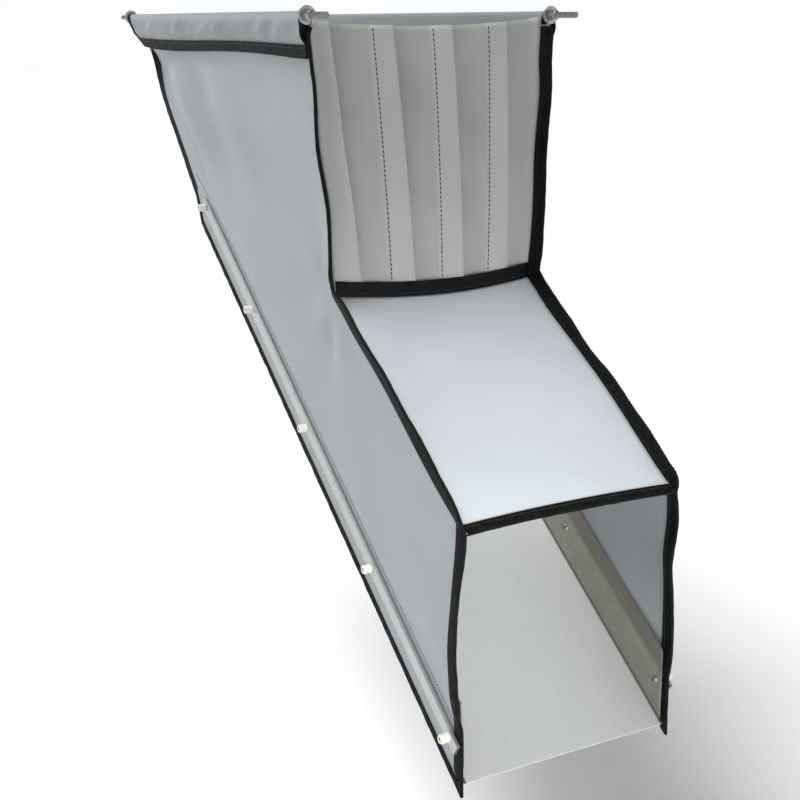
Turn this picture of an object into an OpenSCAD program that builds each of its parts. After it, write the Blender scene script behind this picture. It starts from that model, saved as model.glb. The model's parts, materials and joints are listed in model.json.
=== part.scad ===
// Soft feed chute with a pleated hopper above its upper end.
// Two coated-fabric side walls run from the hem up to a sleeve, and each sleeve holds a
// threaded rod that the whole chute hangs from. The walls are clamped at the bottom between a
// bent stainless tray, which is the chute's floor, and a flat bar on the outside.
// Lengths are millimetres and angles are degrees. +X is the right side seen from the outlet,
// +Y runs from the outlet to the back, +Z is up as the chute hangs. The origin is midway
// between the two rods, at the outer face of the front locknuts.

/* [Chute] */
// Fall of the chute floor below horizontal
fall = 30.8; // [24:0.2:38]
// Length of a side wall's straight hem
hem_l = 1106; // [900:1:1500]
// How far the hem's front end reaches in front of the roof's front edge
toe = 13; // [4:0.5:24]
// Clear width between the side walls at the hem
hem_w = 308; // [180:1:460]
// Clear width between the side walls at the roof
roof_w = 300; // [176:1:456]
// Height of the roof above the hem, square to the floor
chute_h = 287; // [200:1:380]
// Run of the roof panel from its front edge to the hopper, measured level
roof_run = 354; // [250:1:500]
// Length of the raised heel at the back of a side wall's hem
heel_l = 48; // [20:1:80]
// Rise of the heel, square to the floor
heel_h = 30; // [10:1:50]

/* [Hopper] */
// Height of the rods above the foot of the hopper's front panel
hopper_h = 360; // [250:1:450]
// How far the front panel leans back over the hopper's height
front_lean = 26; // [0:1:50]
// Length of the hopper's mouth at the rods
mouth_l = 846; // [700:1:1000]
// Distance between the two rods' centre lines
rod_gap = 362; // [330:1:520]
// Number of pleats in the front panel
pleats = 4; // [2:1:6]
// Width of a pleat's flat band
pleat_w = 32; // [15:1:45]
// Depth of the pleats at the mouth
pleat_depth = 12; // [4:0.5:14]
// Depth of the pleats at the seam
pleat_seam = 4; // [1.5:0.5:6]
// Length of the fabric flap that is folded outward over a rod
flap_l = 50; // [35:1:70]

/* [Fabric and tape] */
// Thickness of the coated fabric
fabric_t = 1.2; // [0.6:0.1:2]
// Width of the seam allowance that stands out along a seam
flange = 17; // [12:0.5:24]
// Width of the binding tape on each side of an edge
tape_w = 16.4; // [10:0.2:22]
// Width of the binding tape along the hem
hem_tape_w = 9.4; // [6:0.2:10]
// Width of the tape folded over a rod sleeve's ends
end_tape_w = 9; // [5:0.5:14]
// Thickness of one ply of binding tape
tape_t = 1.2; // [0.8:0.1:1.6]

/* [Tray and clamp bars] */
// Height of the tray's underside above the hem
tray_lift = 10; // [10:0.5:16]
// Thickness of the tray's sheet
tray_t = 2; // [1:0.1:3]
// Height of the tray's turned-up sides above its underside
tray_h = 86; // [70:1:110]
// Outside radius of the tray's bends
tray_bend = 4; // [3.5:0.5:8]
// Radius of the front top corners of the tray's sides
tray_corner = 12; // [4:1:20]
// Width of an outer clamp bar
bar_w = 18; // [14:1:26]
// Thickness of an outer clamp bar
bar_t = 4; // [2:0.5:6]
// Number of clamp screws on a side
screws = 5; // [3:1:8]
// Distance from the roof line's front end to the first screw, along the floor
first_screw = 43; // [30:1:80]
// Distance between clamp screws
screw_pitch = 258; // [120:1:265]
// Height of the clamp screws above the hem
screw_lift = 50; // [44:1:60]

/* [Fasteners] */
// Diameter of a clamp screw's shank
screw_d = 6; // [5:1:8]
// Diameter of a clamp screw's head
head_d = 10.5; // [9:0.5:14]
// Height of a clamp screw's head
head_h = 3.3; // [2:0.1:5]
// Outside diameter of a sleeve nut
sleeve_nut_d = 12; // [10:0.5:16]
// Length of a sleeve nut
sleeve_nut_l = 13; // [8:0.5:18]
// Diameter of the threaded rods
rod_d = 8; // [6:1:12]
// Length of the threaded rods
rod_l = 1000; // [995:1:1100]
// Diameter of a rod washer
washer_d = 24; // [20:1:30]
// Thickness of a rod washer
washer_t = 2; // [1:0.1:3]
// Width across the flats of a rod nut
nut_af = 13; // [13:1:19]
// Height of an inner rod nut
nut_h = 6.5; // [5:0.1:10]
// Height of an outer rod locknut
locknut_h = 8; // [6:0.1:12]

/* [Fits] */
// Gap left between pieces that are sewn or clamped together
seat = 0.2; // [0.1:0.05:0.4]
// Radial clearance of a rod in its sleeve, washers and nuts
rod_clear = 0.05; // [0.02:0.01:0.1]
// Radial clearance of a clamp screw in its holes
screw_clear = 0.2; // [0.1:0.05:0.5]

/* [Hidden] */
$fn = 64;
EPS = 0.01;
FAR = 2400;

GREY = [0.66, 0.69, 0.71];
PALE = [0.80, 0.83, 0.86];
WARM = [0.60, 0.61, 0.60];
BLACK = [0.09, 0.10, 0.09];
STEEL = [0.62, 0.62, 0.60];
ZINC = [0.55, 0.56, 0.56];
NYLON = [0.88, 0.88, 0.84];

// Side view points are [y, z]. along() gives the point at a distance along the floor and a
// height square to it, counted from below the front edge of the roof at hem height.
function along(s, h) = [s * cos(fall) - h * sin(fall), s * sin(fall) + h * cos(fall)];
floor_dir = along(1, 0);

// Where the line through p along u meets the line through q along v
function meet(p, u, q, v) =
    let (d = u.x * v.y - u.y * v.x, w = q - p) p + u * ((w.x * v.y - w.y * v.x) / d);
function unit(v) = v / norm(v);
// Left-hand normal of the edge from a to b, which points into an outline that turns left
function inward(a, b) = let (u = unit(b - a)) [-u.y, u.x];
// A closed outline moved inward by d, with square corners kept square
function inset(pts, d) =
    let (n = len(pts)) [
        for (i = [0:n - 1])
            let (a = pts[(i + n - 1) % n], b = pts[i], c = pts[(i + 1) % n])
            meet(b + inward(a, b) * d, b - a, b + inward(b, c) * d, c - b)
    ];

roof_front = along(chute_h * tan(fall), chute_h);
panel_foot = roof_front + floor_dir * (roof_run / cos(fall));
rod_z = panel_foot.y + hopper_h;
panel_head = [panel_foot.x + front_lean, rod_z];
hem_front = along(-toe, 0);
hem_back = along(hem_l - toe, 0);
heel_back = along(hem_l - toe + heel_l, heel_h);
panel_dir = unit(panel_head - panel_foot);
front_dir = unit(roof_front - hem_front);

// Rods, sleeves and the outermost layers around them
rod_x = rod_gap / 2;
bore_r = rod_d / 2 + rod_clear;
sleeve_r = bore_r + fabric_t;
wall_drop = 14;
panel_drop = 4;
sleeve_lip = 6;
wall_top = rod_z - wall_drop;
panel_top = rod_z - panel_drop;
flange_y = panel_head.x - flange;
back_y = panel_head.x + mouth_l;
sleeve_front = flange_y + sleeve_lip;
sleeve_back = back_y + flange - sleeve_lip;

// Outline of a side wall with its seam allowances, starting at the front of the hem
panel_out = inward(panel_head, panel_foot) * -flange;
roof_out = [-floor_dir.y, floor_dir.x] * flange;
rear_top = [back_y + flange, rod_z];
rear_dir = unit(rear_top - heel_back);
wall_corner = meet(panel_foot + panel_out, panel_dir, panel_foot + roof_out, floor_dir);
wall_front_top = meet(panel_foot + panel_out, panel_dir, [0, wall_top], [1, 0]);
wall_back_top = meet(heel_back, rear_dir, [0, wall_top], [1, 0]);
wall_roof_front = meet(hem_front, front_dir, roof_front + roof_out, floor_dir);
wall_pts = [
    hem_front, hem_back, heel_back, wall_back_top, wall_front_top, wall_corner, wall_roof_front
];
// The same outline carried on past its top edge, so that the tapes end square under the rods
run_on = 60;
tape_pts = [
    hem_front, hem_back, heel_back, wall_back_top + rear_dir * run_on,
    wall_front_top + panel_dir * run_on, wall_corner, wall_roof_front
];
tape_out = tape_t + seat;
// A cross panel's edges stop short of the walls that they are sewn to
panel_gap = seat + 0.1;

// Half widths inside the walls, at a height square to the floor and at a level height
function low_x(h) = hem_w / 2 + (roof_w - hem_w) / 2 * h / chute_h;
sleeve_in_x = rod_x - sleeve_r;
function high_x(z) =
    roof_w / 2 + (sleeve_in_x - roof_w / 2) * (z - panel_foot.y) / (rod_z - panel_foot.y);

tray_out_x = low_x(tray_lift + tray_h) - tape_out - seat;
tray_in_x = tray_out_x - tray_t;
floor_top = tray_lift + tray_t;
bar_low = screw_lift - bar_w / 2;
floor_cut = 3;
front_cut = 10;
heel_tape = hem_tape_w * 0.4;
bar_lead = 20;
bar_tail = 14;
bar_front = first_screw - bar_lead;
bar_back = first_screw + (screws - 1) * screw_pitch + bar_tail;
bar_rear_top = along(bar_back, bar_low + bar_w);
bar_in_x = max(low_x(bar_low), high_x(bar_rear_top.y)) + fabric_t + tape_out + seat;
bar_out_x = bar_in_x + bar_t;

stack_gap = tape_out + seat;
nut_face = sleeve_front - stack_gap - washer_t - nut_h - locknut_h;
rod_mid_y = (sleeve_front + sleeve_back) / 2;

// ---- placing --------------------------------------------------------------------------
// Everything is drawn with its side view points as they are, then moved to the origin.
module placed() { translate([0, -nut_face, -rod_z]) children(); }
module sided(side) { mirror([side < 0 ? 1 : 0, 0, 0]) children(); }
// A side view shape drawn solid from x = from to x = to
module across(from, to) {
    translate([from, 0, 0]) rotate([90, 0, 90]) linear_extrude(to - from) children();
}
// A shape of the floor's cross-section, [x, height], drawn along the floor
module down_chute(from, to) {
    rotate([fall, 0, 0]) translate([0, to, 0]) rotate([90, 0, 0]) linear_extrude(to - from) children();
}
// A shape of the level cross-section, [x, z], drawn from front to back
module front_to_back(from, to) {
    translate([0, to, 0]) rotate([90, 0, 0]) linear_extrude(to - from) children();
}

// ---- the space inside the side walls ---------------------------------------------------
// Everything from the middle out to the inner face of the right wall, grown by o
module inside(o) {
    low = -80; // below the hem
    high = 1200; // above the rods
    deep = 500; // below the hopper's foot
    down_chute(-FAR / 2, FAR)
        polygon([[0, low], [low_x(low) + o, low], [low_x(high) + o, high], [0, high]]);
    front_to_back(-FAR / 2, FAR)
        polygon([
            [0, panel_foot.y - deep], [high_x(panel_foot.y - deep) + o, panel_foot.y - deep],
            [high_x(rod_z + run_on) + o, rod_z + run_on], [0, rod_z + run_on]
        ]);
}
module wall_layer(from, to) {
    difference() { inside(to); inside(from); }
}
module screw_places() {
    rotate([fall, 0, 0])
        for (i = [0:screws - 1])
            translate([0, first_screw + i * screw_pitch, screw_lift]) rotate([0, 90, 0]) children();
}

// ---- fabric -----------------------------------------------------------------------------
module wall() {
    color(GREY) difference() {
        intersection() {
            across(0, FAR / 4) polygon(wall_pts);
            wall_layer(0, fabric_t);
        }
        screw_places() cylinder(d = screw_d + 2 * screw_clear, h = FAR / 4);
    }
}
// The part of the walls' space that one edge's tape takes. Neighbours meet at a mitre with a
// small gap between them.
module edge_zone(i, w, grow) {
    n = len(tape_pts);
    outer = inset(tape_pts, -tape_out - grow);
    inner = inset(tape_pts, w + grow);
    j = (i + 1) % n;
    gap = unit(tape_pts[j] - tape_pts[i]) * (seat / 2 - grow);
    across(0, FAR / 4)
        polygon([outer[i] + gap, outer[j] - gap, inner[j] - gap, inner[i] + gap]);
}
// Binding tape folded over one edge of a side wall
module edge_tape(i, w) {
    color(BLACK) difference() {
        intersection() {
            edge_zone(i, w, 0);
            wall_layer(-tape_out, fabric_t + tape_out);
            translate([0, -FAR / 2, -FAR / 2]) cube([FAR, FAR * 2, FAR / 2 + wall_top - seat]);
        }
        intersection() {
            across(0, FAR / 4) polygon(inset(tape_pts, -seat));
            wall_layer(-seat, fabric_t + seat);
        }
    }
}
module roof_panel() {
    color(PALE) difference() {
        intersection() {
            union() {
                inside(-panel_gap);
                mirror([1, 0, 0]) inside(-panel_gap);
            }
            across(-FAR / 4, FAR / 4)
                polygon([
                    roof_front, panel_foot - floor_dir * 0.5,
                    panel_foot - floor_dir * 0.5 - roof_out * fabric_t / flange,
                    roof_front - roof_out * fabric_t / flange
                ]);
        }
        for (side = [-1, 1])
            sided(side)
                intersection() {
                    edge_zone(6, tape_w, 0.3);
                    wall_layer(-tape_out - 0.3, fabric_t);
                }
    }
}
// A panel hung between the walls whose pleats open towards its top. Each row of points runs
// from the left wall to the right wall, and every fold of the panel is a straight line.
function pleat_row(half, y, z, depth) = [
    for (k = [0:pleats - 1])
        let (
            valley_w = (2 * half - pleats * pleat_w) / pleats,
            x0 = -half + k * (valley_w + pleat_w)
        )
        each [
            [x0, y, z], [x0 + pleat_w - 1, y, z], [x0 + pleat_w, y + depth, z],
            [x0 + pleat_w + valley_w * 0.85, y + depth, z]
        ],
    [half, y, z]
];
module pleated_sheet(low, high) {
    n = len(low);
    step = [0, fabric_t, 0];
    points = concat(
        low, high, [for (p = low) p + step], [for (p = high) p + step]
    );
    faces = concat(
        [for (i = [0:n - 2]) [i, i + n, i + 1]],
        [for (i = [0:n - 2]) [i + 1, i + n, i + n + 1]],
        [for (i = [0:n - 2]) [i + 2 * n, i + 1 + 2 * n, i + 3 * n]],
        [for (i = [0:n - 2]) [i + 1 + 2 * n, i + 1 + 3 * n, i + 3 * n]],
        [for (i = [0:n - 2]) [i, i + 1, i + 2 * n]],
        [for (i = [0:n - 2]) [i + 1, i + 1 + 2 * n, i + 2 * n]],
        [for (i = [0:n - 2]) [i + n, i + 3 * n, i + n + 1]],
        [for (i = [0:n - 2]) [i + n + 1, i + 3 * n, i + 1 + 3 * n]],
        [[0, 2 * n, n], [n, 2 * n, 3 * n]],
        [[n - 1, 2 * n - 1, 3 * n - 1], [2 * n - 1, 4 * n - 1, 3 * n - 1]]
    );
    polyhedron(points, faces);
}
module hopper_front_panel() {
    foot_z = panel_foot.y + 1;
    foot_y = panel_foot.x + panel_dir.x;
    head_y = meet(panel_foot, panel_dir, [0, panel_top], [1, 0]).x;
    color(WARM) pleated_sheet(
        pleat_row(high_x(foot_z) - panel_gap, foot_y, foot_z, pleat_seam),
        pleat_row(high_x(panel_top) - panel_gap, head_y, panel_top, pleat_depth)
    );
}
// The rear panel's sheet lies a seam allowance inside the wall's rear edge, then turns
// forward parallel to the heel and ends on the tray's floor.
rear_pts = inset([
    hem_front, hem_back, heel_back, rear_top, panel_head, panel_foot
], flange);
rear_bend = rear_pts[2];
rear_head = meet(rear_bend, rear_dir, [0, panel_top], [1, 0]);
heel_dir = unit(heel_back - hem_back);
rear_foot = meet(rear_bend, heel_dir, along(0, floor_top + seat), floor_dir);
module hopper_rear_panel() {
    skin = inward(rear_bend, rear_head) * fabric_t;
    tail = inward(rear_foot, rear_bend) * fabric_t;
    mid = meet(rear_bend + skin, rear_dir, rear_foot + tail, heel_dir);
    color(WARM) difference() {
        intersection() {
            union() {
                inside(-panel_gap);
                mirror([1, 0, 0]) inside(-panel_gap);
            }
            across(-FAR / 4, FAR / 4)
                polygon([
                    rear_foot, rear_bend, rear_head,
                    meet(rear_bend + skin, rear_dir, rear_head, [1, 0]), mid,
                    meet(rear_foot + tail, heel_dir, rear_foot, floor_dir)
                ]);
        }
        placed_pleats();
    }
}
// Shallow sewn grooves that mark the rear panel's pleats on its inner face
module placed_pleats() {
    groove = fabric_t / 3;
    lean = atan2(rear_dir.x, rear_dir.y);
    for (k = [0:pleats - 1])
        translate([(k + 0.5 - pleats / 2) * roof_w / pleats, rear_bend.x, rear_bend.y])
            rotate([-lean, 0, 0])
                translate([-0.5, -fabric_t - 1, 60]) cube([1, 1 + groove, FAR / 4]);
}
// The wall carried over the rod and down outside it as a flap
flap_end_z = rod_z - flap_l;
flap_end_x = high_x(flap_end_z) + fabric_t + 2 * tape_out + 3 * seat;
flap_top_x = rod_x + bore_r;
module sleeve_profile(grow) {
    translate([rod_x, rod_z]) circle(r = sleeve_r + grow);
    polygon([
        [high_x(wall_top) - grow, wall_top], [high_x(wall_top) + fabric_t + grow, wall_top],
        [sleeve_in_x + fabric_t + grow, rod_z], [sleeve_in_x - grow, rod_z]
    ]);
    polygon([
        [flap_end_x - grow, flap_end_z], [flap_end_x + fabric_t + grow, flap_end_z],
        [flap_top_x + fabric_t + grow, rod_z], [flap_top_x - grow, rod_z]
    ]);
}
module sleeve() {
    color(GREY) front_to_back(sleeve_front, sleeve_back) difference() {
        sleeve_profile(0);
        translate([rod_x, rod_z]) circle(r = bore_r);
    }
}
// Tape folded over the sleeve's cut end, around its rod and down both of its legs
module sleeve_end_tape(end) {
    y = end < 0 ? sleeve_front : sleeve_back;
    face = y + end * tape_out;
    color(BLACK) difference() {
        front_to_back(min(face, y - end * end_tape_w), max(face, y - end * end_tape_w))
            sleeve_profile(tape_out);
        front_to_back(min(y + end * seat, y - end * FAR / 4), max(y + end * seat, y - end * FAR / 4))
            sleeve_profile(seat);
        translate([rod_x, 0, rod_z]) rotate([-90, 0, 0])
            translate([0, 0, -FAR / 4]) cylinder(r = bore_r + seat, h = FAR * 2);
    }
}
module sleeve_tape() {
    lean = atan2(flap_top_x - flap_end_x, flap_l);
    margin = end_tape_w + seat;
    color(BLACK) front_to_back(sleeve_front + margin, sleeve_back - margin)
        translate([flap_end_x, flap_end_z]) rotate(-lean)
            difference() {
                translate([-tape_out, -tape_out]) square([fabric_t + 2 * tape_out, tape_w + tape_out]);
                translate([-seat, -seat]) square([fabric_t + 2 * seat, tape_w + 2]);
            }
}

// ---- tapes that cross the chute ---------------------------------------------------------
module outlet_top_tape() {
    half = roof_w / 2 - tape_out - 3 * seat;
    skin = roof_out / flange;
    back = floor_dir * tape_w;
    color(BLACK) difference() {
        across(-half, half) polygon([
            roof_front + skin * tape_out - floor_dir * tape_out,
            roof_front - skin * (fabric_t + tape_out) - floor_dir * tape_out,
            roof_front - skin * (fabric_t + tape_out) + back,
            roof_front + skin * tape_out + back
        ]);
        across(-half - 1, half + 1) polygon([
            roof_front + skin * seat - floor_dir * seat,
            roof_front - skin * (fabric_t + seat) - floor_dir * seat,
            roof_front - skin * (fabric_t + seat) + back * 2,
            roof_front + skin * seat + back * 2
        ]);
    }
}
module roof_hopper_tape() {
    half = roof_w / 2 - tape_out - 3 * seat;
    out = panel_out / flange;
    foot = meet(panel_foot + out * seat, panel_dir, panel_foot + roof_out * seat * 3 / flange, floor_dir);
    color(BLACK) across(-half, half) polygon([
        foot, foot + panel_dir * tape_w, foot + panel_dir * tape_w + out * 2 * tape_t,
        meet(foot + out * 2 * tape_t, panel_dir, foot, floor_dir)
    ]);
}

// ---- tray, bars and clamp screws --------------------------------------------------------
module tray_section() {
    w = tray_out_x;
    r = tray_bend;
    difference() {
        union() {
            translate([-w + r, tray_lift]) square([2 * (w - r), tray_h]);
            translate([-w, tray_lift + r]) square([2 * w, tray_h - r]);
            for (x = [-w + r, w - r]) translate([x, tray_lift + r]) circle(r = r);
        }
        translate([-w + r, floor_top]) square([2 * (w - r), tray_h]);
        translate([-w + tray_t, tray_lift + r]) square([2 * (w - tray_t), tray_h]);
        for (x = [-w + r, w - r]) translate([x, tray_lift + r]) circle(r = r - tray_t);
    }
}
tray_top = tray_lift + tray_h;
// The tray's floor reaches nearly to the wall's front edge and to the rear panel's tail
floor_front = meet(hem_front, front_dir, along(0, tray_lift), floor_dir) + floor_dir * floor_cut;
floor_back = rear_foot - floor_dir * seat;
module floor_tray() {
    up = [-floor_dir.y, floor_dir.x];
    color(STEEL) difference() {
        intersection() {
            down_chute(-FAR / 4, FAR) tray_section();
            across(-FAR / 4, FAR / 4) union() {
                polygon([
                    floor_front, along(hem_l - toe - heel_tape, tray_lift),
                    along(hem_l - toe - heel_tape, floor_top), floor_front + up * tray_t
                ]);
                side_shape();
            }
        }
        for (side = [-1, 1])
            sided(side) screw_places() cylinder(d = screw_d + 2 * screw_clear, h = FAR / 4);
    }
}
// Side view of the tray's turned-up sides, with rounded front and rear top corners
module side_shape() {
    front = floor_front + floor_dir * (front_cut - floor_cut);
    corner = meet(front, front_dir, along(0, tray_top), floor_dir);
    back_s = floor_back.x * cos(fall) + floor_back.y * sin(fall) - 2;
    slope = 90 - fall + atan2(front_dir.x, front_dir.y);
    difference() {
        polygon([front, along(back_s, tray_lift), along(back_s, tray_top), corner]);
        translate(corner) rotate(fall) corner_cut(180 - slope);
        translate(along(back_s, tray_top)) rotate(fall) mirror([1, 0, 0]) corner_cut(90);
    }
}
// What a rounded corner takes off. The corner is at the origin, its top edge runs along +X,
// and its side edge runs down from it at the given angle below the top edge.
module corner_cut(angle) {
    reach = tray_corner / tan(angle / 2);
    edge = [cos(angle), -sin(angle)];
    difference() {
        polygon([[0, 0], [reach, 0], [reach, 1], [-9, 1], [edge.x * reach - 9, edge.y * reach],
            edge * reach, [reach, -tray_corner] * 0.98 + edge * reach * 0.02]);
        translate([reach, -tray_corner]) circle(r = tray_corner);
    }
}
module clamp_bar() {
    color(STEEL) difference() {
        rotate([fall, 0, 0])
            translate([bar_in_x, bar_front, bar_low]) cube([bar_t, bar_back - bar_front, bar_w]);
        screw_places() cylinder(d = screw_d + 2 * screw_clear, h = FAR / 4);
    }
}
// A screw's tip stops inside its sleeve nut's open end
tip_recess = 2.5;
module clamp_screws() {
    tip = bar_out_x + sleeve_nut_l - tip_recess;
    crown = (pow(head_d / 2, 2) + pow(head_h, 2)) / (2 * head_h);
    color(STEEL) screw_places() {
        translate([0, 0, tray_in_x]) cylinder(d = screw_d, h = tip - tray_in_x);
        difference() {
            intersection() {
                translate([0, 0, tray_in_x - head_h]) cylinder(d = head_d, h = head_h);
                translate([0, 0, tray_in_x - head_h + crown]) sphere(r = crown);
            }
            translate([0, 0, tray_in_x - head_h - 1]) cylinder(d = screw_d * 0.7, h = 3, $fn = 6);
        }
    }
}
sleeve_nut_rim = 1.5;
module sleeve_nuts() {
    color(NYLON) screw_places() translate([0, 0, bar_out_x]) difference() {
        union() {
            cylinder(d = sleeve_nut_d, h = sleeve_nut_l - sleeve_nut_rim);
            translate([0, 0, sleeve_nut_l - sleeve_nut_rim])
                cylinder(d1 = sleeve_nut_d, d2 = sleeve_nut_d - 2 * sleeve_nut_rim, h = sleeve_nut_rim);
        }
        translate([0, 0, -1]) cylinder(d = screw_d + 2 * rod_clear, h = sleeve_nut_l + 2);
    }
}

// ---- rods, washers and nuts -------------------------------------------------------------
module rod() {
    color(ZINC) translate([rod_x, rod_mid_y - rod_l / 2, rod_z]) rotate([-90, 0, 0])
        cylinder(d = rod_d, h = rod_l);
}
// Pieces on a rod are stacked outward from the sleeve's end; end is -1 in front, 1 behind
module on_rod(end, start) {
    y = end < 0 ? sleeve_front - stack_gap - start : sleeve_back + stack_gap + start;
    translate([rod_x, y, rod_z]) rotate([-90 * end, 0, 0]) children();
}
module washer(end) {
    color(ZINC) on_rod(end, 0) difference() {
        cylinder(d = washer_d, h = washer_t);
        translate([0, 0, -1]) cylinder(r = bore_r, h = washer_t + 2);
    }
}
module hex_nut(h, collar) {
    difference() {
        union() {
            cylinder(d = nut_af / cos(30), h = h - collar, $fn = 6);
            translate([0, 0, EPS]) cylinder(d = nut_af - 1, h = h - EPS);
        }
        translate([0, 0, -1]) cylinder(r = bore_r, h = h + 2);
    }
}
module nut(end) {
    color(ZINC) on_rod(end, washer_t) hex_nut(nut_h, 0);
}
// Height of the round collar that holds a locknut's insert
collar_h = 2;
module locknut(end) {
    color(ZINC) on_rod(end, washer_t + nut_h) hex_nut(locknut_h, collar_h);
}

placed() floor_tray();
placed() sided(-1) wall();  // left_wall
placed() wall();  // right_wall
placed() roof_panel();
placed() hopper_front_panel();
placed() hopper_rear_panel();
placed() sided(-1) sleeve();  // left_sleeve
placed() sleeve();  // right_sleeve
placed() outlet_top_tape();  // outlet_top_binding
placed() sided(-1) edge_tape(6, tape_w);  // outlet_left_binding
placed() edge_tape(6, tape_w);  // outlet_right_binding
placed() sided(-1) edge_tape(5, tape_w);  // roof_left_binding
placed() edge_tape(5, tape_w);  // roof_right_binding
placed() roof_hopper_tape();  // roof_hopper_binding
placed() sided(-1) edge_tape(4, tape_w);  // hopper_front_left_binding
placed() edge_tape(4, tape_w);  // hopper_front_right_binding
placed() sided(-1) edge_tape(2, tape_w);  // hopper_rear_left_binding
placed() edge_tape(2, tape_w);  // hopper_rear_right_binding
placed() sided(-1) edge_tape(1, hem_tape_w);  // heel_left_binding
placed() edge_tape(1, hem_tape_w);  // heel_right_binding
placed() sided(-1) edge_tape(0, hem_tape_w);  // hem_left_binding
placed() edge_tape(0, hem_tape_w);  // hem_right_binding
placed() sided(-1) sleeve_tape();  // left_sleeve_binding
placed() sleeve_tape();  // right_sleeve_binding
placed() sided(-1) sleeve_end_tape(-1);  // left_sleeve_front_tape
placed() sided(-1) sleeve_end_tape(1);  // left_sleeve_rear_tape
placed() sleeve_end_tape(-1);  // right_sleeve_front_tape
placed() sleeve_end_tape(1);  // right_sleeve_rear_tape
placed() sided(-1) clamp_bar();  // left_clamp_bar
placed() clamp_bar();  // right_clamp_bar
placed() sided(-1) clamp_screws();  // left_clamp_screws
placed() clamp_screws();  // right_clamp_screws
placed() sided(-1) sleeve_nuts();  // left_sleeve_nuts
placed() sleeve_nuts();  // right_sleeve_nuts
placed() sided(-1) rod();  // left_rod
placed() rod();  // right_rod
placed() sided(-1) washer(-1);  // left_front_washer
placed() sided(-1) washer(1);  // left_rear_washer
placed() washer(-1);  // right_front_washer
placed() washer(1);  // right_rear_washer
placed() sided(-1) nut(-1);  // left_front_nut
placed() sided(-1) nut(1);  // left_rear_nut
placed() nut(-1);  // right_front_nut
placed() nut(1);  // right_rear_nut
placed() sided(-1) locknut(-1);  // left_front_locknut
placed() sided(-1) locknut(1);  // left_rear_locknut
placed() locknut(-1);  // right_front_locknut
placed() locknut(1);  // right_rear_locknut
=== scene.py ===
"""Looks of a fabric feed chute with a pleated hopper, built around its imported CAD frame.

Points are worked out in millimetres in the part's own frame and become metres when a piece is
made. x is across the chute, y runs from the outlet to the back and z is up, with the hanging rods
at z = 0. In side view, s is the distance along the floor and h the height square to it.
"""

import json
import math

import bmesh
import bpy
import numpy as np
from mathutils import Matrix, Vector, geometry


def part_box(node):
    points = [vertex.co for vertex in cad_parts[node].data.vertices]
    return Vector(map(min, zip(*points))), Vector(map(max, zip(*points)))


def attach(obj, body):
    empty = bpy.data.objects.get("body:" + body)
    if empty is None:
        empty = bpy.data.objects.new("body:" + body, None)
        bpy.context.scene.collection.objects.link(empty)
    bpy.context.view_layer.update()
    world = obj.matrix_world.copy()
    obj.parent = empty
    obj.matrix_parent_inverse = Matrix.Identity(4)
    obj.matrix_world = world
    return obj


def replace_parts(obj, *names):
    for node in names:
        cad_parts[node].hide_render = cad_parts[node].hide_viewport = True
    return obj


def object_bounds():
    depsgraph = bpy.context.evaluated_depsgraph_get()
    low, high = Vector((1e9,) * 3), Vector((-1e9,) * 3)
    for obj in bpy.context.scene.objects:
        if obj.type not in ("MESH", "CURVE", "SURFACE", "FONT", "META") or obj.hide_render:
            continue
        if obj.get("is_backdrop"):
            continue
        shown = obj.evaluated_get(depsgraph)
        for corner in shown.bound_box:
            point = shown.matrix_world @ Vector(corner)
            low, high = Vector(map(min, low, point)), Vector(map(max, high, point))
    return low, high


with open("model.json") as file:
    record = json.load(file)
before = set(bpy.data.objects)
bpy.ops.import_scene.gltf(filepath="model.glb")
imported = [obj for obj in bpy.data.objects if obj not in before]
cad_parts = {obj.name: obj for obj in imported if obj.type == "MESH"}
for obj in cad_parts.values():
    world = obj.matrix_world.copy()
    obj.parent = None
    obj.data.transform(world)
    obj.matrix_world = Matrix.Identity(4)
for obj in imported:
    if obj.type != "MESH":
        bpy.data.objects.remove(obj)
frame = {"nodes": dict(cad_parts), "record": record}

CAD_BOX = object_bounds()
MM = 0.001
SIDES = {"left": -1, "right": 1}
ENDS = {"front": -1, "rear": 1}

# ---- sizes, as the CAD model has them ----
mounts = {m["name"]: m for m in frame["record"]["mounts"]}
FALL = math.asin(mounts["floor_underside"]["axis"][1])
COS, SIN, TAN = math.cos(FALL), math.sin(FALL), math.tan(FALL)
HEM_L, TOE, HEM_W, ROOF_W = 1106, 13, 308, 300
CHUTE_H, ROOF_RUN, HOPPER_H, FRONT_LEAN = 287, 354, 360, 26
HEEL_L, HEEL_H, MOUTH_L = 48, 30, 846
FLANGE, TAPE_W, RIM_TAPE_W, HEM_TAPE_W, END_TAPE_W = 17, 16.4, 12.5, 9.4, 9
CLOTH, TAPE, SEAT, FLAP_L = 1.2, 1.2, 0.2, 50
TAPE_OUT = TAPE + SEAT
FLOOR_TOP, TRAY_TOP, BAR_TOP, WALL_TOP = 12, 96, 59, -14
SLEEVE_LIP, SLEEVE_L, SLEEVE_WRAP = 6, 868, 79
PLEATS, PLEAT_W, REAR_L = 4, 33, 560
# Between a panel's edge and the wall it is sewn to
PANEL_GAP = 0.3
# From a tape's inner edge to its line of stitching
STITCH_IN = 4.2


def mm_box(node):
    """A CAD node's lowest and highest corners in millimetres."""
    lo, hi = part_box(node)
    return np.array(lo) / MM, np.array(hi) / MM


rod_lo, rod_hi = mm_box("right_rod")
ROD_X = (rod_lo[0] + rod_hi[0]) / 2
ROD_R = (rod_hi[0] - rod_lo[0]) / 2
BORE_R = ROD_R + 0.05
SLEEVE_R = BORE_R + CLOTH
SLEEVE_IN = ROD_X - SLEEVE_R
sleeve_lo, sleeve_hi = mm_box("right_sleeve")
SLEEVE_FRONT, SLEEVE_BACK = sleeve_lo[1], sleeve_hi[1]

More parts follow.
